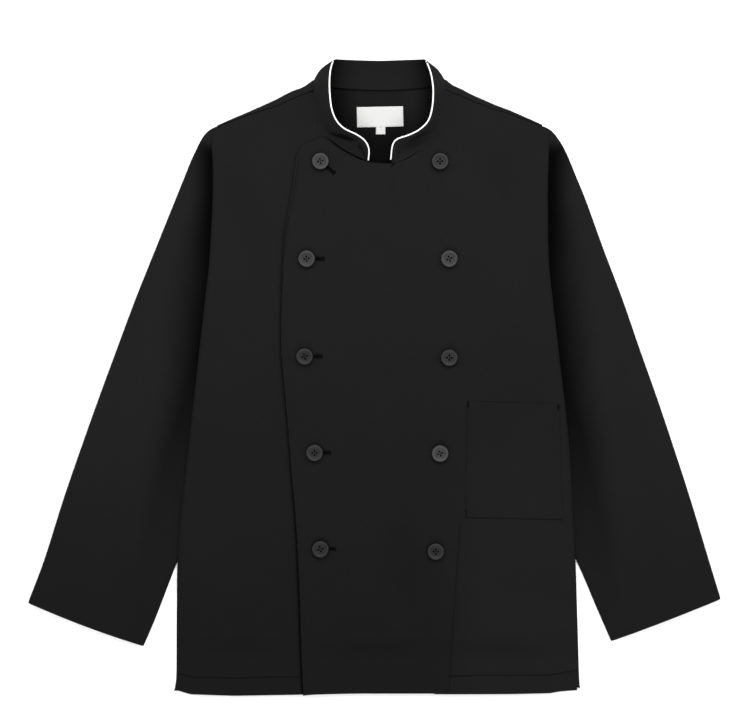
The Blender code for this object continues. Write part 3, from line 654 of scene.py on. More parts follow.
def smooth_line(table, parts):
    """Runs a smooth curve through the rows of a table."""
    rows = np.array(table, dtype=float)
    padded = np.vstack([2 * rows[0] - rows[1], rows, 2 * rows[-1] - rows[-2]])
    result = []
    for before, first, last, after in zip(padded, padded[1:], padded[2:], padded[3:]):
        for t in np.arange(parts) / parts:
            result.append(0.5 * (2 * first + (last - before) * t
                                 + (2 * before - 5 * first + 4 * last - after) * t * t
                                 + (3 * first - before - 3 * last + after) * t ** 3))
    result.append(rows[-1])
    return np.array(result)


def lengths(points):
    """Gives the distance along a line at each of its points."""
    steps = np.linalg.norm(np.diff(points, axis=0), axis=1)
    return np.concatenate([[0.0], np.cumsum(steps)])


def read_line(points, fractions):
    """Reads a line of points at the given fractions of its length."""
    points = np.asarray(points, dtype=float)
    along = lengths(points[:, :2])
    return np.array([np.interp(np.asarray(fractions) * along[-1], along, axis) for axis in points.T]).T


def stops(length, first=(), last=(), pitch=PITCH):
    """Gives fractions along a length: fine ones near both ends, even ones between them."""
    low = [0.0, *first]
    high = [length - distance for distance in (*last[::-1], 0.0)]
    count = max(2, round((high[0] - low[-1]) / pitch))
    middle = np.linspace(low[-1], high[0], count + 1)[1:-1]
    return np.array([*low, *middle, *high]) / length


def patch(bottom, top, start, end, across, up):
    """Fills the area between four edges with a grid of x, y points.

    bottom and top run to +X, start and end run to +Y, and across and up are the
    fractions at which the edges are read.
    """
    low, high = read_line(bottom, across), read_line(top, across)
    left, right = read_line(start, up), read_line(end, up)
    u, v = across[None, :, None], up[:, None, None]
    corners = ((1 - u) * (1 - v) * low[0] + u * (1 - v) * low[-1]
               + (1 - u) * v * high[0] + u * v * high[-1])
    return (1 - v) * low[None] + v * high[None] + (1 - u) * left[:, None] + u * right[:, None] - corners


SIDE_LINE = smooth_line(SIDES, 6)


def side_x(y, side):
    """Gives the side fold of the body at a height; side is -1 or 1."""
    return np.interp(y, SIDE_LINE[:, 0], SIDE_LINE[:, 1 if side < 0 else 2])


def sleeve_inner_x(y, side):
    """Gives the inner edge of the sleeve, hidden or not, at a height."""
    table = np.array(SLEEVE_RIGHT if side < 0 else SLEEVE_LEFT)
    heights = [*table[::-1, 3], table[0, 1]]
    edges = [*table[::-1, 2], table[0, 0]]
    return np.interp(y, heights, edges)


def sleeve_below(x, y, clear, ramp):
    """Gives how far the tucked sleeve lifts what lies on it, from 0 to 1."""
    inside = np.where(x < 0, -(x - sleeve_inner_x(y, -1)), x - sleeve_inner_x(y, 1))
    above_crotch = ease((y - CROTCH_Y + CROTCH_CLEAR + CROTCH_RAMP) / CROTCH_RAMP)
    return ease((inside + clear + ramp) / ramp) * above_crotch


def crease_height(x, y, table):
    """Adds up the soft ridges and troughs of a table at each place."""
    total = np.zeros(np.shape(x))
    for from_x, from_y, to_x, to_y, width, height in table:
        run_x, run_y = to_x - from_x, to_y - from_y
        share = ((x - from_x) * run_x + (y - from_y) * run_y) / (run_x ** 2 + run_y ** 2)
        inside = np.clip(share, 0, 1)
        distance = np.hypot(x - from_x - inside * run_x, y - from_y - inside * run_y)
        total = total + height * np.exp(-(distance / width) ** 2) * (0.35 + 0.65 * np.sin(math.pi * inside))
    return total


def back_inside(x, y):
    """Gives the height of the back's inner surface."""
    beside_armhole = ease((UNDERARM_Y + UNDERARM_CLEAR + UNDERARM_RAMP - y) / UNDERARM_RAMP)
    lifted = sleeve_below(x, y, BACK_CLEAR, BACK_RAMP) * beside_armhole
    return WALL + (SLEEVE_TUCKED + SEAM_GAP) * lifted


def under_front_top(x, y):
    """Gives the height of the under front's upper surface."""
    lifted = sleeve_below(x, y, FRONT_CLEAR, FRONT_RAMP)
    below = (SLEEVE_TUCKED + SEAM_GAP) * lifted + LOFT * (1 - lifted)
    inside = np.where(x < 0, x - side_x(y, -1), side_x(y, 1) - x)
    beside_sleeve = ease((y - CROTCH_Y + SIDE_LIFT_RAMP) / SIDE_LIFT_RAMP)
    # The lift dies away before the shoulder's tip.
    below_tip = 1 - 0.9 * ease((y - 0.235) / 0.035)
    lift = SIDE_LIFT * np.exp(-(np.maximum(inside, 0) / SIDE_LIFT_WIDTH) ** 2) * beside_sleeve * below_tip
    return below + 2 * SOLID_WALL + SEAM_GAP + lift + crease_height(x, y, CREASES)


def past_facing(x, y):
    """Gives the distance past the facing's inner edge, and how far it shows, from 0 to 1."""
    line = np.array(FACING_LINE)[::-1]
    below_pocket = ease((POCKET_BOTTOM[0][1] - y) / 0.010)
    return x - np.interp(y, line[:, 1], line[:, 0]), below_pocket


def upper_front_top(x, y):
    """Gives the height of the upper front's upper surface."""
    edge = np.array(UNDER_EDGE)
    hidden_edge = np.interp(y, edge[:, 1], edge[:, 0])
    on_under_front = ease((hidden_edge + OVERLAP_CLEAR + OVERLAP_RAMP - x) / OVERLAP_RAMP)
    from_facing, below_pocket = past_facing(x, y)
    step = FACING_STEP * (1 - ease(from_facing / 0.003 + 0.5)) * below_pocket
    return under_front_top(x, y) + UPPER_STEP * on_under_front + step


# ---------------------------------------------------------------- cloth

def grid_normals(points):
    """Gives the unit normals of a grid of points."""
    normals = np.cross(np.gradient(points, axis=1), np.gradient(points, axis=0))
    return normals / np.maximum(np.linalg.norm(normals, axis=2, keepdims=True), 1e-12)


def turned_edge(points, normals, count, radius=TURN, steps=6):
    """Gives the rows that turn the first row of a grid under it, as far as row count.

    The rows run from the raw edge inside, round the turn, to the first row itself.
    """
    out = points[0] - points[1]
    out /= np.linalg.norm(out, axis=1, keepdims=True)
    centre = points[0] - normals[0] * radius
    turns = [centre + radius * (normals[0] * math.cos(a) + out * math.sin(a))
             for a in np.linspace(math.pi, 0, steps + 1)]
    inner = [points[row] - 2 * radius * normals[row] for row in range(count, 0, -1)]
    return np.array(inner + turns)


def add_grid(body, points, uv, shade=None, flip=False):
    """Adds a grid of cloth whose points, flat places and shades are arrays."""
    rows, columns = points.shape[:2]
    uv_layer = body.loops.layers.uv.get("cloth") or body.loops.layers.uv.new("cloth")
    shade_layer = body.verts.layers.float.get("shade") or body.verts.layers.float.new("shade")
    made = bmesh.ops.create_grid(body, x_segments=columns - 1, y_segments=rows - 1, size=0.5)
    place = {}
    for vert in made["verts"]:
        row, column = round((vert.co.y + 0.5) * (rows - 1)), round((vert.co.x + 0.5) * (columns - 1))
        place[vert] = (row, column)
    faces = {face for vert in made["verts"] for face in vert.link_faces}
    for face in faces:
        for loop in face.loops:
            loop[uv_layer].uv = uv[place[loop.vert]]
    for vert, at in place.items():
        vert.co = points[at]
        vert[shade_layer] = 1.0 if shade is None else shade[at]
    if flip:
        bmesh.ops.reverse_faces(body, faces=list(faces))


def add_object(name, data):
    """Puts an object of a mesh, a light or a camera in the scene."""
    item = bpy.data.objects.new(name, data)
    bpy.context.collection.objects.link(item)
    return item


def make_mesh(name, body):
    """Gives the mesh of a finished bmesh."""
    mesh = bpy.data.meshes.new(name)
    body.to_mesh(mesh)
    body.free()
    return mesh


def make_piece(name, body, material, wall=None):
    """Makes an object of a finished mesh, with a wall that grows inwards if it is asked for."""
    bmesh.ops.remove_doubles(body, verts=body.verts, dist=MERGE)
    mesh = make_mesh(name, body)
    if not mesh.polygons:
        raise RuntimeError(f"{name} has no surface")
    mesh.shade_smooth()
    mesh.materials.append(material)
    piece = add_object(name, mesh)
    if wall:
        solid = piece.modifiers.new("wall", "SOLIDIFY")
        solid.thickness = wall
        solid.offset = -1.0
        solid.use_quality_normals = True
    return piece


def cut_out(item, cutter):
    """Gives an object's mesh, modifiers included, with the shape of a bmesh cut out of it."""
    tool = add_object("cutter", make_mesh("cutter", cutter))
    boolean = item.modifiers.new("cut", "BOOLEAN")
    boolean.operation = "DIFFERENCE"
    boolean.solver = "EXACT"
    boolean.object = tool
    bpy.context.view_layer.update()
    graph = bpy.context.evaluated_depsgraph_get()
    result = bpy.data.meshes.new_from_object(item.evaluated_get(graph))
    item.modifiers.clear()
    bpy.data.objects.remove(tool, do_unlink=True)
    return result


def stand_for(piece, node):
    """Hides the solid that a piece stands for and puts the piece in the root body."""
    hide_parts(node)
    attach(piece, "root")


def hem_relief(points, distances, share=1.0):
    """Raises a share of the hem band a little and pulls the cloth in at its row of stitches."""
    band = HEM_RISE * ease((HEM + 0.004 - distances) / 0.006)
    row = STITCH_SINK * np.exp(-((distances - HEM) / STITCH_WIDTH) ** 2)
    points[:, :, 2] += (band - row)[:, None] * share


def hem_stops(length, last=()):
    """Gives the rows of a panel from its hem up, close together round the hem's stitches."""
    near = (SOFT_EDGE, 0.003, 0.008, 0.013, HEM - 0.0016, HEM - 0.0006, HEM, HEM + 0.0006, HEM + 0.0016,
            HEM + 0.004)
    return stops(length, near, last)


def add_side_roll(points, side):
    """Adds the columns that roll a front over its side fold down to what is below it."""
    edge = points[:, -1] if side > 0 else points[:, 0]
    tips = edge[:, 0] + side * SIDE_ROLL
    on_sleeve = sleeve_below(tips, edge[:, 1], BACK_CLEAR, BACK_RAMP)
    floor = np.maximum((SLEEVE_TUCKED + FOLD_GAP) * on_sleeve, FOLD_GAP)
    fold = []
    for turn in np.radians((10, 20, 32, 44, 56, 68, 80, 92, 106)):
        x = edge[:, 0] + side * SIDE_ROLL * math.sin(turn)
        z = floor + (edge[:, 2] - floor) * max(math.cos(turn), 0.0)
        fold.append(np.stack([x, edge[:, 1], z], axis=1))
    fold = np.stack(fold, axis=1)
    if side > 0:
        return np.concatenate([points, fold], axis=1)
    return np.concatenate([fold[:, ::-1], points], axis=1)


def flat_uv(points):
    """Lays the weave along x and y."""
    return points[:, :, :2].copy()


# ---------------------------------------------------------------- settings

def colour_setting(name, description, key):
    """Gives a colour property whose default is in COLOURS."""
    return FloatVectorProperty(name=name, description=description, subtype="COLOR", size=3, min=0, max=1,
                               default=linear(COLOURS[key]))


class JacketSettings(bpy.types.PropertyGroup):
    """Sizes and colours that a user would change."""

    cloth_colour: colour_setting("Cloth", "Colour of the twill", "cloth")
    # Colour of the painted shade that the shade attribute mixes into the twill in its folds and hollows.
    painted_shade_colour: colour_setting("Folds", "Colour of the twill deep in its folds", "deep")
    piping_colour: colour_setting("Piping", "Colour of the collar's piping", "piping")
    label_colour: colour_setting("Label", "Colour of the blank labels", "label")
    button_colour: colour_setting("Buttons", "Colour of the buttons", "button")
    thread_colour: colour_setting("Thread", "Colour of the sewing thread", "thread")
    rib: FloatProperty(name="Rib", description="Distance between the ribs of the twill", unit="LENGTH",
                       min=0.0005, default=0.0018)
    stitch: FloatProperty(name="Stitch", description="Length of one stitch with its gap", unit="LENGTH",
                          min=0.001, default=0.0030)
    thread: FloatProperty(name="Thread Width", description="Thickness of the sewing thread",
                          unit="LENGTH", min=0.0001, default=0.00042)


def settings_now():
    """Gives the settings of this scene."""
    return bpy.context.scene.jacket_settings


# ---------------------------------------------------------------- panels

def shoulder_seam(side):
    """Gives a front's shoulder seam, just below the strip that the back rolls over."""
    line = smooth_line(BACK_TOP, 4)
    run = np.gradient(line[:, :2], axis=0)
    out = np.stack([-run[:, 1], run[:, 0]], axis=1) / np.linalg.norm(run, axis=1)[:, None]
    seam = line[:, :2] - out * (line[:, 2] + 2 * SEAM_GAP)[:, None]
    seam = seam[(line[:, 2] > STRIP_MIN) & (side * seam[:, 0] > SHOULDER_FROM_X[side])
                & (side * line[:, 0] > SHOULDER_FROM_X[side])]
    tip = seam[np.argmax(side * seam[:, 0])]
    # Past the last strip the seam runs on to the side fold, just below the shoulder's tip.
    low_y = tip[1] - 0.0050
    corner = [(tip[0] + side * 0.0035, tip[1] - 0.0022),
              (side_x(low_y, side) - side * SIDE_ROLL, low_y)]
    return np.vstack([seam, corner]) if side > 0 else np.vstack([corner[::-1], seam])


def side_line(side, top):
    """Gives the line where a front starts to roll over its side, from the hem to its top."""
    heights = np.linspace(HEM_CORNERS[side], top, 60)
    return np.stack([side_x(heights, side) - side * SIDE_ROLL, heights], axis=1)


def closer(fractions, low, high, count):
    """Puts count places between two fractions in place of those that are there."""
    outside = fractions[(fractions < low) | (fractions > high)]
    return np.sort(np.concatenate([outside, np.linspace(low, high, count)]))


def overlap_x(y):
    """Gives the edge of the overlap at a height."""
    line = smooth_line(OVERLAP_EDGE, 6)
    return np.interp(y, line[:, 1], line[:, 0])


def under_front_points():
    """Gives the under front's grid."""
    top = np.vstack([shoulder_seam(-1), UNDER_NECKLINE])
    end = smooth_line(UNDER_EDGE, 6)
    start = side_line(-1, top[0][1])
    hem = np.array([start[0], *UNDER_HEM, end[0]])
    length = lengths(start)[-1]
    up = hem_stops(length, (SOFT_EDGE,))
    # The columns are close together where the overlap's edge casts its shadow.
    across = closer(stops(lengths(top)[-1], (), (SOFT_EDGE,)), 0.24, 0.50, 62)
    flat = patch(hem, top, start, end, across, up)
    x, y = flat[:, :, 0], flat[:, :, 1]
    points = np.dstack([x, y, under_front_top(x, y)])
    hem_relief(points, up * length)
    return add_side_roll(points, -1)


def upper_front_points():
    """Gives the upper front's grid without its facing."""
    neckline = smooth_line(UPPER_NECKLINE, 3)
    top = np.vstack([neckline, shoulder_seam(1)])
    start = smooth_line(OVERLAP_EDGE, 6)
    end = side_line(1, top[-1][1])
    hem = np.array([start[0], *UPPER_HEM, end[0]])
    length = lengths(start)[-1]
    up = hem_stops(length, (SOFT_EDGE,))
    near_edge = (0.0008, 0.0025, EDGE_STITCH - 0.0008, EDGE_STITCH, EDGE_STITCH + 0.0008, 0.0080)
    # The columns are close together where the facing's inner edge shows through.
    across = closer(stops(lengths(top)[-1], near_edge, ()), 0.52, 0.62, 24)
    flat = patch(hem, top, start, end, across, up)
    # The turn stands out by its radius, so the first column starts that far in.
    flat[:, :, 0] += TURN * (1 - ease(across / 0.01))[None, :]
    x, y = flat[:, :, 0], flat[:, :, 1]
    points = np.dstack([x, y, upper_front_top(x, y)])
    from_edge = across * lengths(top)[-1]
    sink = STITCH_SINK * np.exp(-((from_edge - EDGE_STITCH) / STITCH_WIDTH) ** 2)
    points[:, :, 2] -= sink[None, :]
    lift = OVERLAP_LIFT * (1 - ease(from_edge / 0.045))[None, :] * ease((0.16 - y) / 0.42)
    points[:, :, 2] += lift
    hem_relief(points, up * length, ease((x - 0.075) / 0.015))
    return add_side_roll(points, 1)


def with_hem(body, points, first_column=0):
    """Adds the turned hem below a panel, from one column onwards."""
    normals = grid_normals(points)[:, first_column:]
    rows = turned_edge(points[:, first_column:], normals, HEM_ROWS)
    rows[:, :, 2] = np.maximum(rows[:, :, 2], HEM_FLOOR)
    add_grid(body, rows, flat_uv(rows))


def hem_shade(points):
    """Paints shade into the groove of the hem's stitches."""
    shade = np.ones(points.shape[:2])
    for step, depth in HEM_GROOVE_SHADE:
        shade[HEM_ROWS + step] -= depth
    return shade


def painted_cloth_shade(x, y):
    """Gives the painted shade of the fronts: darker towards the hem, from the chest down and in the creases,
    lighter beside and below the pocket.
    """
    towards_hem = ease((-0.10 - y) / 0.22) * (1 - ease((x - 0.06) / 0.06))
    beside_pocket = ease((x - 0.08) / 0.05) * ease((-0.02 - y) / 0.10)
    troughs = np.clip(crease_height(x, y, CREASES), -TROUGH_LIMIT, 0)
    below_chest = 1 - CHEST_PAINTED_SHADE * ease((0.20 - y) / 0.32)
    tone = FRONT_SHADE_SHARE + POCKET_PAINTED_LIGHT * beside_pocket - HEM_PAINTED_SHADE * towards_hem
    return tone * below_chest * (1 + TROUGH_PAINTED_SHADE * troughs)


def under_front_shade(points):
    """Paints the overlap's shadow on the under front beside it, more so towards the hem, over the painted
    shade of the hem's stitches and of the fronts.
    """
    x, y = points[:, :, 0], points[:, :, 1]
    outside = overlap_x(y) - x
    chest, hem = OVERLAP_SHADOW
    strength = chest * ease((0.24 - y) / 0.16) + hem * ease((-0.02 - y) / 0.26)
    dark = strength * np.exp(-(np.maximum(outside - 0.0003, 0) / OVERLAP_SHADOW_WIDTH) ** 2)
    return hem_shade(points) * (1 - dark) * painted_cloth_shade(x, y)


def upper_front_shade(points):
    """Paints shade into the upper front's hem stitches beyond its facing and along the facing's edge, over
    the painted shade of the fronts.
    """
    x, y = points[:, :, 0], points[:, :, 1]
    from_facing, below_pocket = past_facing(x, y)
    facing = FACING_SHADOW * np.exp(-(from_facing / 0.0011) ** 2) * below_pocket
    beyond = ease((x - 0.080) / 0.008)
    return (1 - (1 - hem_shade(points)) * beyond) * (1 - facing) * painted_cloth_shade(x, y)


class JACKET_OT_back(bpy.types.Operator):
    """Build the back with its turned hem and the strips that roll over the shoulders"""

    bl_idname = "jacket.back"
    bl_label = "Back"

    def execute(self, context):
        line = smooth_line(BACK_TOP, 4)
        line[:, 2] = np.maximum(line[:, 2], 0)
        across = stops(lengths(line[:, :2])[-1], (SOFT_EDGE,), (SOFT_EDGE,))
        top = read_line(line, across)
        edges = [self.side_edge(-1, top[0]), self.side_edge(1, top[-1])]
        hem = np.array([edges[0][0], *BACK_HEM, edges[1][0]])
        up = hem_stops(lengths(edges[0])[-1])
        flat = patch(hem, top[:, :2], *edges, across, up)[:-1]
        x, y = flat[:, :, 0], flat[:, :, 1]
        # The back lies on the floor: its outer surface is the lower one.
        outer = np.dstack([x, y, back_inside(x, y) - WALL])
        points = np.concatenate([outer, self.shoulder_strip(top)])
        body = bmesh.new()
        add_grid(body, points, flat_uv(points), self.shade(points), flip=True)
        hem_rows = turned_edge(points, -grid_normals(points), HEM_ROWS)
        add_grid(body, hem_rows, flat_uv(hem_rows), flip=True)
        piece = make_piece("back_twill", body, twill_material(settings_now()), WALL)
        stand_for(piece, "back")
        return {"FINISHED"}

    @staticmethod
    def side_edge(side, tip):
        """Gives one side of the back: inside the side fold, then along the armhole to its tip."""
        inset = SIDE_ROLL * 0.7
        heights = np.linspace(SIDES[0][0], UNDERARM_Y - 0.018, 40)
        lower = np.stack([side_x(heights, side) - side * inset, heights], axis=1)
        heights = np.linspace(UNDERARM_Y + 0.006, tip[1] - 0.012, 24)
        upper = np.stack([sleeve_inner_x(heights, side) - side * 0.0011, heights], axis=1)
        return np.vstack([lower, upper, tip[:2]])

    @staticmethod
    def shoulder_strip(top):
        """Gives the rows that roll over the shoulders and lie down to the seam.

        At the back neck, where the strip has no width, they pile up as a plain edge.
        """
        run = np.gradient(top[:, :2], axis=0)
        out = np.stack([-run[:, 1], run[:, 0], 0 * run[:, 0]], axis=1)
        out /= np.linalg.norm(out, axis=1, keepdims=True)
        x, y, strip = top.T
        height = np.where(x < 0, under_front_top(x, y), upper_front_top(x, y))
        flat_neck = (1 - ease(strip / STRIP_MIN))[:, None]
        radius = 0.5 * height * ease(strip / STRIP_MIN)
        reach = ROLL_FLATNESS * radius
        edge = np.dstack([x, y, 0 * strip])[0]
        lift = np.array([0, 0, 1.0])
        rows = []
        for step, turn in enumerate(np.radians(np.linspace(0, 180, 13))):
            rows.append(edge + out * (reach * math.sin(turn) - reach)[:, None]
                        + lift * (radius * (1 - math.cos(turn)))[:, None] + out * 0.00012 * step * flat_neck)
        rolled = rows[-1]
        over = np.maximum(strip - reach, 0.0004)
        for share in (0.5, 0.85, 1.0):
            dip = 0.0004 * ease((share - 0.5) * 2)
            rows.append(rolled - out * (over * share)[:, None] * (1 - flat_neck)
                        + out * 0.0006 * share * flat_neck - lift * dip * (1 - flat_neck))
        return np.array(rows)

    @staticmethod
    def shade(points):
        """Paints shade on the inside of the back that shows in the neck, darker towards the bottom of the
        neck and at its sides.
        """
        x, y = points[:, :, 0], points[:, :, 1]
        inside = (points[:, :, 2] < 0.003) & (np.abs(x - NECK_CENTRE_X) < 0.09) & (y > 0.2)
        low, up, right, aside = BACK_PAINTED_SHADE
        depth = low + up * ease((y - 0.258) / 0.060) + right * ease((x - 0.02) / 0.03) * (y > 0.28)
        at_sides = aside * ease((np.abs(x - NECK_CENTRE_X - 0.0055) - 0.030) / 0.025)
        return np.where(inside, depth * (1 - at_sides), 1.0)


class JACKET_OT_fronts(bpy.types.Operator):
    """Build the under front and the upper front with its facing and buttonholes"""

    bl_idname = "jacket.fronts"
    bl_label = "Fronts"

    def execute(self, context):
        material = twill_material(settings_now())
        points = under_front_points()
        body = bmesh.new()
        add_grid(body, points, flat_uv(points), under_front_shade(points))
        with_hem(body, points)
        under = make_piece("front_right_twill", body, material, WALL)
        stand_for(under, "front_right")

        points = upper_front_points()
        sideways = points.transpose(1, 0, 2)
        normals = grid_normals(points).transpose(1, 0, 2)
        facing = turned_edge(sideways, normals, FACING_COLUMNS).transpose(1, 0, 2)
        body = bmesh.new()
        add_grid(body, points, flat_uv(points), upper_front_shade(points))
        # Painted shade on the facing that lies under the front: darker lower down.
        dark = 1 - 0.75 * ease((0.24 - facing[:, :, 1]) / 0.20)
        add_grid(body, facing, flat_uv(facing) + 0.4, dark)
        with_hem(body, points, FACING_COLUMNS)
        upper = make_piece("front_left_twill", body, material, WALL)
        self.cut_buttonholes(upper)
        stand_for(upper, "front_left")
        return {"FINISHED"}

    @staticmethod
    def cut_buttonholes(piece):
        """Cuts the five slits through the upper front and its facing."""
        cutter = bmesh.new()
        for x, y, reach, slope, _ in BUTTONS:
            if reach is None:
                continue
            made = bmesh.ops.create_cube(cutter, size=1.0)["verts"]
            size = (reach + SLIT_BEHIND - SLIT_SHORT, SLIT_WIDTH, SLIT_CUT)
            bmesh.ops.scale(cutter, vec=size, verts=made)
            bmesh.ops.translate(cutter, vec=((reach - SLIT_SHORT - SLIT_BEHIND) / 2, 0, 0), verts=made)
            turn = Matrix.Rotation(-math.radians(slope), 3, "Z")
            bmesh.ops.rotate(cutter, cent=(0, 0, 0), matrix=turn, verts=made)
            level = float(upper_front_top(x, y))
            bmesh.ops.translate(cutter, vec=(x, y, level + SLIT_CUT_LIFT), verts=made)
        piece.data = cut_out(piece, cutter)


# ---------------------------------------------------------------- sleeves

def sleeve_top(x, y, clear, from_inner):
    """Gives a sleeve's height: flat where it is tucked, fuller away from the body.

    clear is the distance past the side fold, from_inner the one from the inner fold.
    """
    full = SLEEVE_FULL * (0.78 + 0.22 * ease((y + 0.30) / 0.30))
    below_crotch = np.where(y < CROTCH_Y, ease((CROTCH_Y - y) / 0.05), 0.0)
    filled = np.maximum(ease((clear - 0.004) / SLEEVE_RISE), below_crotch)
    at_tip = ease((y - SLEEVE_TIP_Y) / 0.016) * ease((clear + 0.0005) / 0.004)
    filled = np.maximum(filled, 0.62 * at_tip)
    near_inner = ease(np.minimum(from_inner, 0.03) / 0.03) * 0.35 + 0.65
    top = SLEEVE_TUCKED + (full - SLEEVE_TUCKED) * filled * near_inner
    return top + crease_height(x, y, SLEEVE_CREASES) * filled


def sleeve_shade(y, clear, side):
    """Gives a sleeve's painted shade: dark along the body that shades it, less so lower down and at its tip,
    and a little darker all over towards the cuff.
    """
    beside, away, low = SLEEVE_PAINTED_SHADE
    # The darkest painted shade is core wide, and the cloth takes reach to come back from it.
    core = (0.008 * ease((y - 0.10) / 0.08) + 0.003 * ease((-0.02 - y) / 0.05)
            + 0.0015 * side - 0.0015)
    reach = 0.028 + 0.026 * ease((0.22 - y) / 0.12)
    shade = beside + away * ease((clear - core + 0.003) / reach) ** 0.85
    shade = np.maximum(shade, ease((0.080 - 0.020 * side - y) / 0.34) * low)
    shade = np.maximum(shade, ease((y - SLEEVE_TIP_Y) / 0.018))
    return shade * (1 - (0.24 - 0.04 * side) * ease((0.02 - y) / 0.30))


def sleeve_ring(outer, inner, side, inset):
    """Gives the points round one section of a sleeve, drawn in by inset on all sides."""
    length = float(np.hypot(*(outer - inner)))
    fold = np.linspace(-90, 90, 11)
    roll = [(SLEEVE_ROLL * (1 - math.cos(math.radians(a))), 0.5 + 0.5 * math.sin(math.radians(a)))
            for a in fold]
    middle = np.linspace(SLEEVE_ROLL, length - SLEEVE_ROLL, 34)[1:-1]
    places = roll + [(along, 1.0) for along in middle]
    places += [(length - along, level) for along, level in roll[::-1]]
    places += [(along, 0.0) for along in middle[::-1]]
    places.append(places[0])
    along, level = np.array(places).T
    share = along / length
    x = outer[0] + (inner[0] - outer[0]) * share
    y = outer[1] + (inner[1] - outer[1]) * share
    clear = np.where(y > SIDES[0][0], side * (x - side_x(y, side)), SLEEVE_RISE)
    top = sleeve_top(x, y, clear, length - along)
    z = level * top
    shade = sleeve_shade(y, clear, side)
    if inset:
        centre = np.stack([x, y, top / 2], axis=1)
        ring = np.stack([x, y, z], axis=1)
        towards = np.array([*(inner - outer) / length, 0.0])
        ring += towards * (inset * np.cos(np.pi * np.clip(share, 0, 1)))[:, None]
        ring[:, 2] = centre[:, 2] + (z - centre[:, 2]) * np.maximum(1 - 2 * inset / top, 0.1)
        return ring, shade
    return np.stack([x, y, z], axis=1), shade


def sleeve_points(table, side):
    """Gives a sleeve's grid from the cuff's raw edge inside, round the cuff, to the armhole."""
    line = smooth_line(table, 5)[::-1]
    length = lengths(0.5 * (line[:, :2] + line[:, 2:]))[-1]
    near = (SOFT_EDGE, 0.004, 0.010, 0.017, CUFF_HEM)
    up = stops(length, near, (), PITCH * 1.15)
    outer = read_line(line[:, :2], up)
    inner = read_line(line[:, 2:], up)
    rings, shades = [], []
    bow = CUFF_BOW[side]
    for row in (5, 4, 3, 2, 1, 0):
        ring, shade = sleeve_ring(outer[row], inner[row], side, 2 * TURN)
        rings.append(ring)
        shades.append(shade * CUFF_PAINTED_SHADE)
    out = outer[0] - outer[2]
    out = np.array([*out / np.hypot(*out), 0.0])
    for turn in np.radians(np.linspace(165, 15, 6)):
        ring, shade = sleeve_ring(outer[0], inner[0], side, TURN * (1 - math.cos(turn)))
        rings.append(ring + out * TURN * math.sin(turn))
        shades.append(shade)
    for row in range(len(up)):
        ring, shade = sleeve_ring(outer[row], inner[row], side, 0.0)
        rings.append(ring)
        shades.append(shade)
    rings = np.array(rings)
    towards = (inner[0] - outer[0]) / np.sum((inner[0] - outer[0]) ** 2)
    across = np.clip((rings[:, :, :2] - outer[0]) @ towards, 0, 1)
    beyond = ease(1 - (rings[:, :, :2] - outer[0]) @ -out[:2] / 0.10)
    rings += out * (bow * np.sin(math.pi * across) * beyond)[:, :, None]
    return rings, np.array(shades)


class JACKET_OT_sleeves(bpy.types.Operator):
    """Build the two sleeves with their turned cuffs"""

    bl_idname = "jacket.sleeves"
    bl_label = "Sleeves"

    def execute(self, context):
        for name, table, side in (("sleeve_right", SLEEVE_RIGHT, -1), ("sleeve_left", SLEEVE_LEFT, 1)):
            points, shade = sleeve_points(table, side)
            around = lengths(points[-10])
            down = lengths(points[:, 20])
            uv = np.dstack(np.meshgrid(around + 0.1 * side, down))
            body = bmesh.new()
            add_grid(body, points, uv, shade, flip=side > 0)
            piece = make_piece(f"{name}_twill", body, twill_material(settings_now()), WALL)
            stand_for(piece, name)
        return {"FINISHED"}


# ---------------------------------------------------------------- collar

def gaping(x, y):
    """Gives how far the collar's seam opens, from 0 to 1: only at the right front."""
    return ease((-0.008 - x) / 0.010) * ease((0.276 - y) / 0.006)


def collar_frame():
    """Gives the collar's seam and rim, and the directions out of the band and along it."""
    line = smooth_line(COLLAR, 8)
    rim, seam_xy = line[:, :3], line[:, 3:]
    x, y = seam_xy.T
    front = np.where(x < NECK_CENTRE_X, under_front_top(x, y), upper_front_top(x, y))
    at_back = ease((BACK_NECK_HALF - np.abs(x - NECK_CENTRE_X)) / BACK_NECK_RAMP) * (y > BACK_NECK_Y)
    rest = front * (1 - at_back) + WALL * at_back
    seam = np.stack([x, y, rest + SEAM_GAP * (2.6 * gaping(x, y) + at_back) - 0.0001], axis=1)
    along = np.gradient(seam, axis=0)
    along /= np.linalg.norm(along, axis=1, keepdims=True)
    up = rim - seam
    up /= np.linalg.norm(up, axis=1, keepdims=True)
    inwards = np.cross(along, up)
    inwards /= np.linalg.norm(inwards, axis=1, keepdims=True)
    return seam, rim, along, up, inwards


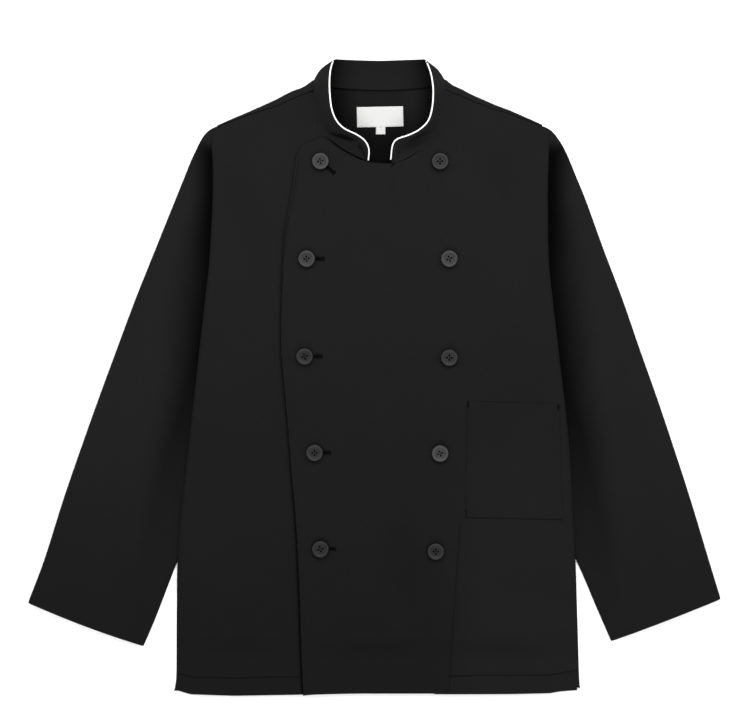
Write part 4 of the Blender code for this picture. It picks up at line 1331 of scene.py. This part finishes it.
def collar_layer(depth, outer):
    """Gives one layer of the collar from the seam up to the rim, and its painted shades."""
    seam, rim, _, _, inwards = collar_frame()
    shares = np.concatenate([[0, 0.012, 0.03], np.linspace(0.07, 0.93, 22), [0.965, 0.985, 1.0]])
    at_side = ease((seam[:, 1] - 0.300) / 0.030)[:, None]
    place = np.linspace(0, 1, len(seam))
    at_ends = ease(np.minimum(place, 1 - place) / 0.16)
    at_corners = np.exp(-((np.abs(rim[:, 0] - NECK_CENTRE_X) - 0.053) / 0.015) ** 2) * (rim[:, 1] > 0.29)
    rows, shades = [], []
    for share in shares:
        bulge = (COLLAR_BULGE * (0.4 + 1.6 * at_side)) * math.sin(math.pi * share) * (1 if outer else 0.6)
        bulge = bulge * np.where(seam[:, :1] > 0, 0.75, 1.0)
        to_piping = 0.0004 * float(ease((share - 0.92) / 0.08)) * (1 if outer else -1)
        points = seam + (rim - seam) * share
        points[:, 2] -= 0.0040 * (1 - at_side[:, 0]) * math.sin(math.pi * share) * (1 - share)
        points = points + inwards * (depth - bulge + to_piping)
        if outer:
            fold = crease_height(points[:, 0], points[:, 1], COLLAR_FOLDS)
            points[:, 2] += fold
            # Painted shade in the folds, and painted shadow where the seam gapes.
            at_seam = gaping(seam[:, 0], seam[:, 1]) * float(1 - ease((share - 0.020) / 0.045))
            in_fold = np.clip(fold, -TROUGH_LIMIT, 0) / 0.0017
            shades.append((1.0 + in_fold) * (1 - COLLAR_SEAM_SHADOW * at_seam))
        else:
            # Painted shade on the inner layer: darkest at its front ends and at its corners.
            low, gain, high, loss = INNER_COLLAR_PAINTED_SHADE
            shades.append(np.minimum(low + gain * at_ends, high - loss * at_corners))
        rows.append(points)
    return np.array(rows), np.array(shades)


def piping_path():
    """Gives the line of the piping's centre along the collar's rim and its ends."""
    _, rim, along, up, inwards = collar_frame()
    along_rim = np.gradient(rim, axis=0)
    along_rim /= np.linalg.norm(along_rim, axis=1, keepdims=True)
    beyond = (up * np.sum(along_rim * along, axis=1)[:, None]
              - along * np.sum(along_rim * up, axis=1)[:, None])
    beyond /= np.linalg.norm(beyond, axis=1, keepdims=True)
    return rim + beyond * (PIPING_RADIUS * 0.75) + inwards * ((COLLAR_SPACE + WALL) * 0.5)


def tube(body, path, radius, sides=12):
    """Adds a round cord along a path."""
    along = np.gradient(path, axis=0)
    along /= np.linalg.norm(along, axis=1, keepdims=True)
    first = np.cross(along, (0.0, 0.0, 1.0))
    first /= np.maximum(np.linalg.norm(first, axis=1, keepdims=True), 1e-9)
    second = np.cross(along, first)
    turns = np.linspace(0, math.tau, sides + 1)
    points = (path[:, None] + radius * (np.cos(turns)[None, :, None] * first[:, None]
                                        + np.sin(turns)[None, :, None] * second[:, None]))
    uv = np.dstack(np.meshgrid(turns * radius, lengths(path)))
    add_grid(body, points, uv, flip=True)


class JACKET_OT_collar(bpy.types.Operator):
    """Build the two layers of the stand collar and the piping between them"""

    bl_idname = "jacket.collar"
    bl_label = "Collar"

    def execute(self, context):
        settings = settings_now()
        twill = twill_material(settings)
        body = bmesh.new()
        tube(body, piping_path(), PIPING_RADIUS)
        bmesh.ops.remove_doubles(body, verts=body.verts, dist=MERGE)
        bmesh.ops.holes_fill(body, edges=body.edges, sides=0)
        piping = make_piece("piping_cord", body, piping_material(settings))
        stand_for(piping, "collar_piping")
        for name, depth in (("collar_outer", 0.0), ("collar_inner", COLLAR_SPACE + WALL)):
            points, shade = collar_layer(depth, name == "collar_outer")
            length = lengths(points[0])
            up = np.linspace(0, 0.035, len(points))
            uv = np.dstack(np.meshgrid(length, up))
            body = bmesh.new()
            add_grid(body, points, uv, shade, flip=name == "collar_outer")
            piece = make_piece(f"{name}_twill", body, twill, WALL)
            stand_for(piece, name)
        return {"FINISHED"}


# ---------------------------------------------------------------- pocket and labels

def laid_patch(bottom, top, level, first, last, pitch=PITCH):
    """Gives a grid over a four-cornered piece that lies on the height function level."""
    bottom, top = np.array(bottom, dtype=float), np.array(top, dtype=float)
    start, end = np.array([bottom[0], top[0]]), np.array([bottom[1], top[1]])
    across = stops(lengths(top)[-1], first, first, pitch)
    up = stops(lengths(start)[-1], first, last, pitch)
    flat = patch(bottom, top, start, end, across, up)
    x, y = flat[:, :, 0], flat[:, :, 1]
    return np.dstack([x, y, level(x, y)]), across, up


def rectangle(centre, size, turn=0.0):
    """Gives the bottom and top edges of a rectangle, turned by degrees."""
    c, s = math.cos(math.radians(turn)), math.sin(math.radians(turn))
    (x, y), (w, h) = centre, size
    corners = [(x + u * w * c - v * h * s, y + u * w * s + v * h * c)
               for u, v in ((-0.5, -0.5), (0.5, -0.5), (-0.5, 0.5), (0.5, 0.5))]
    return corners[:2], corners[2:]


class JACKET_OT_pocket(bpy.types.Operator):
    """Build the patch pocket with its turned top hem"""

    bl_idname = "jacket.pocket"
    bl_label = "Patch Pocket"

    def execute(self, context):
        near = (0.0005, 0.0012, POCKET_SEAM, 0.0028, 0.0045)
        far = (SOFT_EDGE, 0.004, 0.008, POCKET_HEM - 0.0008, POCKET_HEM, POCKET_HEM + 0.0008)
        points, across, up = laid_patch(POCKET_BOTTOM, POCKET_TOP, upper_front_top, near, far)
        width, height = POCKET_SIZE
        sides = np.minimum(across, 1 - across) * width
        from_edge = np.minimum(sides[None, :], (up * height)[:, None])
        puff = POCKET_PUFF * ease(from_edge / 0.012)
        outside_seam = 1 - np.clip(from_edge / POCKET_SEAM, 0, 1)
        rounded = (POCKET_STEP - 0.0002) * (1 - np.sqrt(1 - outside_seam ** 2))
        sink = 0.00010 * np.exp(-((from_edge - POCKET_SEAM) / 0.0007) ** 2)
        from_top = ((1 - up) * height)[:, None]
        hem = 0.00012 * np.exp(-((from_top - POCKET_HEM) / STITCH_WIDTH) ** 2)
        gape = POCKET_GAPE * ease(1 - from_top / 0.05) * np.sin(math.pi * across)[None, :]
        points[:, :, 2] += POCKET_STEP + puff - rounded - sink - hem + gape
        body = bmesh.new()
        # Painted shadow along the pocket's bottom edge, over the painted shade of the fronts.
        at_bottom = np.exp(-(up * height / 0.0010) ** 2)[:, None]
        add_grid(body, points, flat_uv(points) + 0.013, painted_cloth_shade(*points.T[:2]).T * (1 - 0.5 * at_bottom))
        upside = points[::-1]
        rows = turned_edge(upside, grid_normals(points)[::-1], 4, POCKET_TURN)
        add_grid(body, rows, flat_uv(rows), flip=True)
        piece = make_piece("pocket_twill", body, twill_material(settings_now()), POCKET_WALL)
        stand_for(piece, "patch_pocket")
        return {"FINISHED"}


class JACKET_OT_labels(bpy.types.Operator):
    """Build the blank woven label and the small tab below it"""

    bl_idname = "jacket.labels"
    bl_label = "Labels"

    def execute(self, context):
        material = label_material(settings_now())
        for name, node, centre, size, turn, step in (
                ("label_satin_cloth", "main_label", LABEL_CENTRE, LABEL_SIZE, 1.2, 0.0012),
                ("tab_satin_cloth", "size_tab", TAB_CENTRE, TAB_SIZE, 0.0, 0.0006)):
            bottom, top = rectangle(centre, size, turn)
            near = (0.0002, 0.0005, 0.0010)
            points, across, up = laid_patch(bottom, top, back_inside, near, near, 0.0015)
            sides = np.minimum(across, 1 - across)[None, :] * size[0]
            ends = np.minimum(up, 1 - up)[:, None] * size[1]
            edge = np.minimum(sides, ends)
            round_off = 0.0003 * (1 - ease(edge / 0.0008))
            wave = 0.0003 * np.sin(9 * across)[None, :] * np.sin(math.pi * up)[:, None]
            points[:, :, 2] += step + wave - round_off
            body = bmesh.new()
            add_grid(body, points, flat_uv(points))
            piece = make_piece(name, body, material, LABEL_WALL)
            stand_for(piece, node)
        return {"FINISHED"}


# ---------------------------------------------------------------- buttons

def button_body():
    """Turns one button about its middle, on z = 0."""
    body = bmesh.new()
    profile = ((0.0, 0.0), (0.0070, 0.0), (0.0086, 0.0003), (0.0096, 0.0007), (0.01000, 0.0013),
               (0.0097, 0.0021), (0.0093, 0.0028), (0.0087, 0.0032), (0.0078, 0.0033),
               (0.0069, 0.0029), (0.0060, 0.0024), (0.0048, 0.0021), (0.0, 0.00205))
    points = smooth_line(profile, 3)
    points[0], points[-1] = profile[0], profile[-1]
    chain = [body.verts.new((max(r, 0.0), 0, z)) for r, z in points]
    edges = [body.edges.new(pair) for pair in zip(chain, chain[1:])]
    bmesh.ops.spin(body, geom=chain + edges, cent=(0, 0, 0), axis=(0, 0, 1), angle=math.tau, steps=48,
                   use_merge=True)
    bmesh.ops.remove_doubles(body, verts=body.verts, dist=0.00001)
    bmesh.ops.recalc_face_normals(body, faces=body.faces)
    return body


def drilled_button(material):
    """Gives the mesh of one button with its four holes."""
    blank = add_object("blank", make_mesh("button", button_body()))
    drill = bmesh.new()
    for quarter in range(4):
        turn = BUTTON_HOLE_TURN + quarter * math.tau / 4
        place = Vector((math.cos(turn), math.sin(turn), 0)) * BUTTON_HOLE_REACH
        bmesh.ops.create_cone(drill, cap_ends=True, segments=20, depth=0.02, radius1=BUTTON_HOLE_RADIUS,
                              radius2=BUTTON_HOLE_RADIUS, matrix=Matrix.Translation(place))
    result = cut_out(blank, drill)
    bpy.data.objects.remove(blank, do_unlink=True)
    result.shade_smooth()
    result.set_sharp_from_angle(angle=math.radians(40))
    result.materials.clear()
    result.materials.append(material)
    return result


def add_thread(body, start, end, radius, sides=6):
    """Adds one stitch: a short round thread between two points, pointed at both ends."""
    start, end = Vector(start), Vector(end)
    run = end - start
    turn = run.to_track_quat("Z", "Y").to_matrix().to_4x4()
    size = Matrix.Diagonal((radius, radius, run.length / 2, 1))
    bmesh.ops.create_uvsphere(body, u_segments=sides, v_segments=4, radius=1.0,
                              matrix=Matrix.Translation((start + end) / 2) @ turn @ size)


class JACKET_OT_buttons(bpy.types.Operator):
    """Build the ten buttons and the threads that hold them"""

    bl_idname = "jacket.buttons"
    bl_label = "Buttons"

    def execute(self, context):
        settings = settings_now()
        resin = button_material(settings)
        thread = thread_material(settings, "black_twist_corded", 0.2)
        master = drilled_button(resin)
        out = np.array([math.hypot(*vert.co.xy) for vert in master.vertices])
        # Painted light makes the ring round the dish lighter than the dish, with a line of painted shade
        # between them.
        painted_dish_shading = (0.86 + 0.28 * ease((out - DISH_RADIUS) / 0.0009)
                  - 0.12 * np.exp(-((out - DISH_RADIUS) / 0.0004) ** 2))
        for number, (x, y, reach, _, tone) in enumerate(BUTTONS, start=1):
            foot = float(upper_front_top(x, y))
            seat = Vector((x, y, foot + BUTTON_STAND))
            mesh = master.copy()
            shade = mesh.attributes.new("shade", "FLOAT", "POINT")
            shade.data.foreach_set("value", tone * painted_dish_shading * (1 - 0.97 * ease((out - RIM_SHADOW_RADIUS) / 0.0004)))
            tilt = Matrix.Rotation(math.radians(BUTTON_TILT * math.sin(5 * number)), 4, "X")
            spin = math.radians(BUTTON_SPIN * math.sin(3 * number))
            mesh.transform(Matrix.Translation(seat) @ tilt @ Matrix.Rotation(spin, 4, "Z"))
            button = add_object(f"button_{number:02d}_resin", mesh)
            stand_for(button, f"button_{number:02d}")
            body = bmesh.new()
            holes = []
            for quarter in range(4):
                angle = BUTTON_HOLE_TURN + quarter * math.tau / 4 + spin
                holes.append(seat + Vector((math.cos(angle), math.sin(angle), 0)) * BUTTON_HOLE_REACH)
            top = Vector((0, 0, BUTTON_WELL))
            for first, last in ((0, 2), (1, 3)):
                across = (holes[last] - holes[first]).normalized()
                beside = Vector((-across.y, across.x, 0))
                for strand in (-0.5, 0.5):
                    shift = beside * STRAND_GAP * strand + top
                    add_thread(body, holes[first] + shift, holes[last] + shift, STRAND_RADIUS)
            low = foot - (UPPER_STEP if reach is not None else 0) - 0.0003
            for hole in holes:
                add_thread(body, Vector((x, y, low)).lerp(Vector((hole.x, hole.y, low)), 0.3),
                           hole + top, 0.00040)
            bmesh.ops.create_cone(body, cap_ends=True, segments=14, depth=seat.z - low, radius1=0.0014,
                                  radius2=0.0011, matrix=Matrix.Translation((x, y, (seat.z + low) / 2)))
            shank = make_piece(f"shank_{number:02d}_thread", body, thread)
            stand_for(shank, f"shank_{number:02d}")
        bpy.data.meshes.remove(master)
        return {"FINISHED"}


# ---------------------------------------------------------------- stitching

def stitch_row(body, path, level, settings, sunk=0.00005):
    """Adds stitches along a line of x, y points on the height function level."""
    length = lengths(path)[-1]
    count = max(1, round(length / settings.stitch))
    starts = read_line(path, (np.arange(count) + 0.12) / count)
    ends = read_line(path, (np.arange(count) + 0.88) / count)
    for (from_x, from_y), (to_x, to_y) in zip(starts, ends):
        add_thread(body, (from_x, from_y, float(level(from_x, from_y)) - sunk),
                   (to_x, to_y, float(level(to_x, to_y)) - sunk), settings.thread / 2)


def bar_tack(body, x, y, level, length, width, degrees, settings):
    """Adds a bar tack: close stitches across a short line."""
    turn = math.radians(degrees)
    along = Vector((math.cos(turn), math.sin(turn), 0))
    beside = Vector((-along.y, along.x, 0))
    count = max(3, round(length / TACK_PITCH))
    for step in range(count):
        middle = Vector((x, y, level)) + along * (length * ((step + 0.5) / count - 0.5))
        add_thread(body, middle - beside * width / 2, middle + beside * width / 2, settings.thread / 2)


class JACKET_OT_stitching(bpy.types.Operator):
    """Sew the hems, the overlap's edge, the pocket and the buttonholes"""

    bl_idname = "jacket.stitching"
    bl_label = "Stitching"

    def execute(self, context):
        settings = settings_now()
        thread = thread_material(settings)
        self.hem_stitches(settings, thread)
        self.pocket_stitches(settings, thread)
        twist = thread_material(settings, "black_twist_corded", 0.2)
        self.buttonholes(settings, twist)
        self.tacks(settings, twist)
        return {"FINISHED"}

    @staticmethod
    def finish(name, body, thread):
        """Makes a piece of the stitches."""
        piece = make_piece(name, body, thread)
        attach(piece, "root")

    def hem_stitches(self, settings, thread):
        """Sews the hems and the edge of the overlap."""
        hem_level = HEM_RISE * 0.5 - STITCH_SINK
        body = bmesh.new()
        line = under_front_points()[HEM_ROWS, :, :2]
        line = line[(line[:, 0] > side_x(line[:, 1], -1) + 0.002) & (line[:, 0] < -0.080)]
        stitch_row(body, line, lambda x, y: under_front_top(x, y) + hem_level, settings)
        line = upper_front_points()[HEM_ROWS, :, :2]
        line = line[(line[:, 0] < side_x(line[:, 1], 1) - 0.002) & (line[:, 0] > 0.085)]
        stitch_row(body, line, lambda x, y: upper_front_top(x, y) + hem_level, settings)
        edge = smooth_line(OVERLAP_EDGE, 6)
        edge = edge + np.array([EDGE_STITCH, 0.0])
        corner = smooth_line(UPPER_NECKLINE[:6], 4) + np.array([EDGE_STITCH * 0.6, -EDGE_STITCH * 0.8])
        stitch_row(body, np.vstack([edge[1:-3], corner[4:]]),
                   lambda x, y: upper_front_top(x, y) - STITCH_SINK, settings)
        self.finish("stitches_fronts", body, thread)

    def pocket_stitches(self, settings, thread):
        """Sews the pocket round three sides, across its hem and at its corners."""
        bottom, top = np.array(POCKET_BOTTOM), np.array(POCKET_TOP)

        def level(x, y):
            """The rows up the sides sink deeper than the one along the bottom."""
            at_side = ease((y - bottom[0][1] - 0.004) / 0.004)
            return upper_front_top(x, y) + POCKET_STEP - 0.00015 - 0.00018 * at_side

        inset = POCKET_SEAM
        path = np.array([top[0] + (inset, 0), bottom[0] + (inset, inset), bottom[1] + (-inset, inset),
                         top[1] + (-inset, 0)])
        body = bmesh.new()
        stitch_row(body, path, level, settings)
        hem = np.array([top[0] + (inset, -POCKET_HEM), top[1] + (-inset, -POCKET_HEM)])
        stitch_row(body, hem, lambda x, y: level(x, y) + 0.00045, settings)
        self.finish("stitches_pocket", body, thread)

    def tacks(self, settings, twist):
        """Works the bar tacks of the pocket and of the neck."""
        body = bmesh.new()
        for x, y, length, width, degrees in TACKS:
            level = float(upper_front_top(x, y)) + POCKET_STEP * (y < 0)
            bar_tack(body, x, y, level + 0.0002, length, width, degrees, settings)
        self.finish("bar_tacks", body, twist)

    def buttonholes(self, settings, thread):
        """Works the purl round each buttonhole, with a bar tack at its inner end."""
        for number, (x, y, reach, slope, _) in enumerate(BUTTONS, start=1):
            if reach is None:
                continue
            body = bmesh.new()
            turn = -math.radians(slope)
            along = Vector((math.cos(turn), math.sin(turn), 0))
            beside = Vector((-along.y, along.x, 0))
            start, end = -SLIT_BEHIND, reach - SLIT_SHORT
            count = round((end - start) / PURL_PITCH)
            for side in (-1, 1):
                for step in range(count):
                    place = Vector((x, y, 0)) + along * (start + (end - start) * (step + 0.5) / count)
                    inner = place + beside * side * PURL_INNER
                    outer = place + beside * side * PURL_OUTER
                    inner.z = float(upper_front_top(inner.x, inner.y)) + 0.00015
                    outer.z = float(upper_front_top(outer.x, outer.y)) + 0.00010
                    add_thread(body, inner, outer, PURL_RADIUS)
            tack = Vector((x, y, 0)) + along * (end + 0.0006)
            bar_tack(body, tack.x, tack.y, float(upper_front_top(tack.x, tack.y)) + 0.0003, 0.0054, 0.0018,
                     90 - slope, settings)
            self.finish(f"buttonhole_{number}", body, thread)


# ---------------------------------------------------------------- stage

def area_light(name, place, target, size, power):
    """Adds a soft box that looks at a point."""
    light = bpy.data.lights.new(name, "AREA")
    light.shape = "RECTANGLE"
    light.size, light.size_y = size
    light.energy = power
    item = add_object(name, light)
    item.location = place
    item.rotation_euler = (Vector(target) - Vector(place)).to_track_quat("-Z", "Y").to_euler()


class JACKET_OT_stage(bpy.types.Operator):
    """Build the floor, the soft lights and the camera"""

    bl_idname = "jacket.stage"
    bl_label = "Stage"

    def execute(self, context):
        scene = context.scene
        body = bmesh.new()
        bmesh.ops.create_grid(body, x_segments=2, y_segments=2, size=6.0)
        material, tree, shader = new_material("white_card_matt", {"Roughness": 0.9,
                                                                  "Specular IOR Level": 0.0})
        place = add_node(tree, "ShaderNodeTexCoord").outputs["Object"]
        cloud = add_node(tree, "ShaderNodeTexNoise", {"Scale": 3.0}, Vector=place)
        tone = add_node(tree, "ShaderNodeMapRange", {"To Min": 0.93, "To Max": 0.95},
                        Value=cloud.outputs["Fac"])
        tree.links.new(tone.outputs["Result"], shader.inputs["Base Color"])
        floor = make_piece("floor", body, material)
        world = bpy.data.worlds.new("studio")
        world.use_nodes = True
        background = world.node_tree.nodes["Background"]
        background.inputs["Color"].default_value = (1.0, 1.0, 1.0, 1.0)
        background.inputs["Strength"].default_value = 0.42
        scene.world = world
        for name, place, target, size, power in SOFT_BOXES:
            area_light(name, place, target, size, power)
        camera = bpy.data.cameras.new("camera")
        camera.lens = LENS
        camera.sensor_width = SENSOR
        camera.clip_end = 20.0
        scene.camera = add_object("camera", camera)
        scene.camera.location = (*VIEW_CENTRE, VIEW_WIDTH * LENS / SENSOR + VIEW_LEVEL)
        scene.view_settings.view_transform = "Standard"
        return {"FINISHED"}


class JACKET_PT_sidebar(bpy.types.Panel):
    """Lists the jacket's settings and its pieces"""

    bl_idname = "JACKET_PT_sidebar"
    bl_label = "Chef Jacket"
    bl_space_type = "VIEW_3D"
    bl_region_type = "UI"
    bl_category = "Jacket"

    def draw(self, context):
        settings = context.scene.jacket_settings
        for name in JacketSettings.__annotations__:
            self.layout.prop(settings, name)
        for operator in OPERATORS:
            self.layout.operator(operator.bl_idname)


OPERATORS = (JACKET_OT_stage, JACKET_OT_back, JACKET_OT_sleeves, JACKET_OT_fronts, JACKET_OT_collar,
             JACKET_OT_pocket, JACKET_OT_labels, JACKET_OT_buttons, JACKET_OT_stitching)
CLASSES = (JacketSettings, *OPERATORS, JACKET_PT_sidebar)


def register():
    """Registers the classes and the settings."""
    for item in CLASSES:
        bpy.utils.register_class(item)
    bpy.types.Scene.jacket_settings = PointerProperty(type=JacketSettings)


def unregister():
    """Takes the settings and the classes away again."""
    del bpy.types.Scene.jacket_settings
    for item in reversed(CLASSES):
        bpy.utils.unregister_class(item)


def main():
    """Builds the whole jacket."""
    register()
    for operator in OPERATORS:
        group, name = operator.bl_idname.split(".")
        getattr(getattr(bpy.ops, group), name)()
    bpy.context.view_layer.update()


if __name__ == "__main__":
    main()
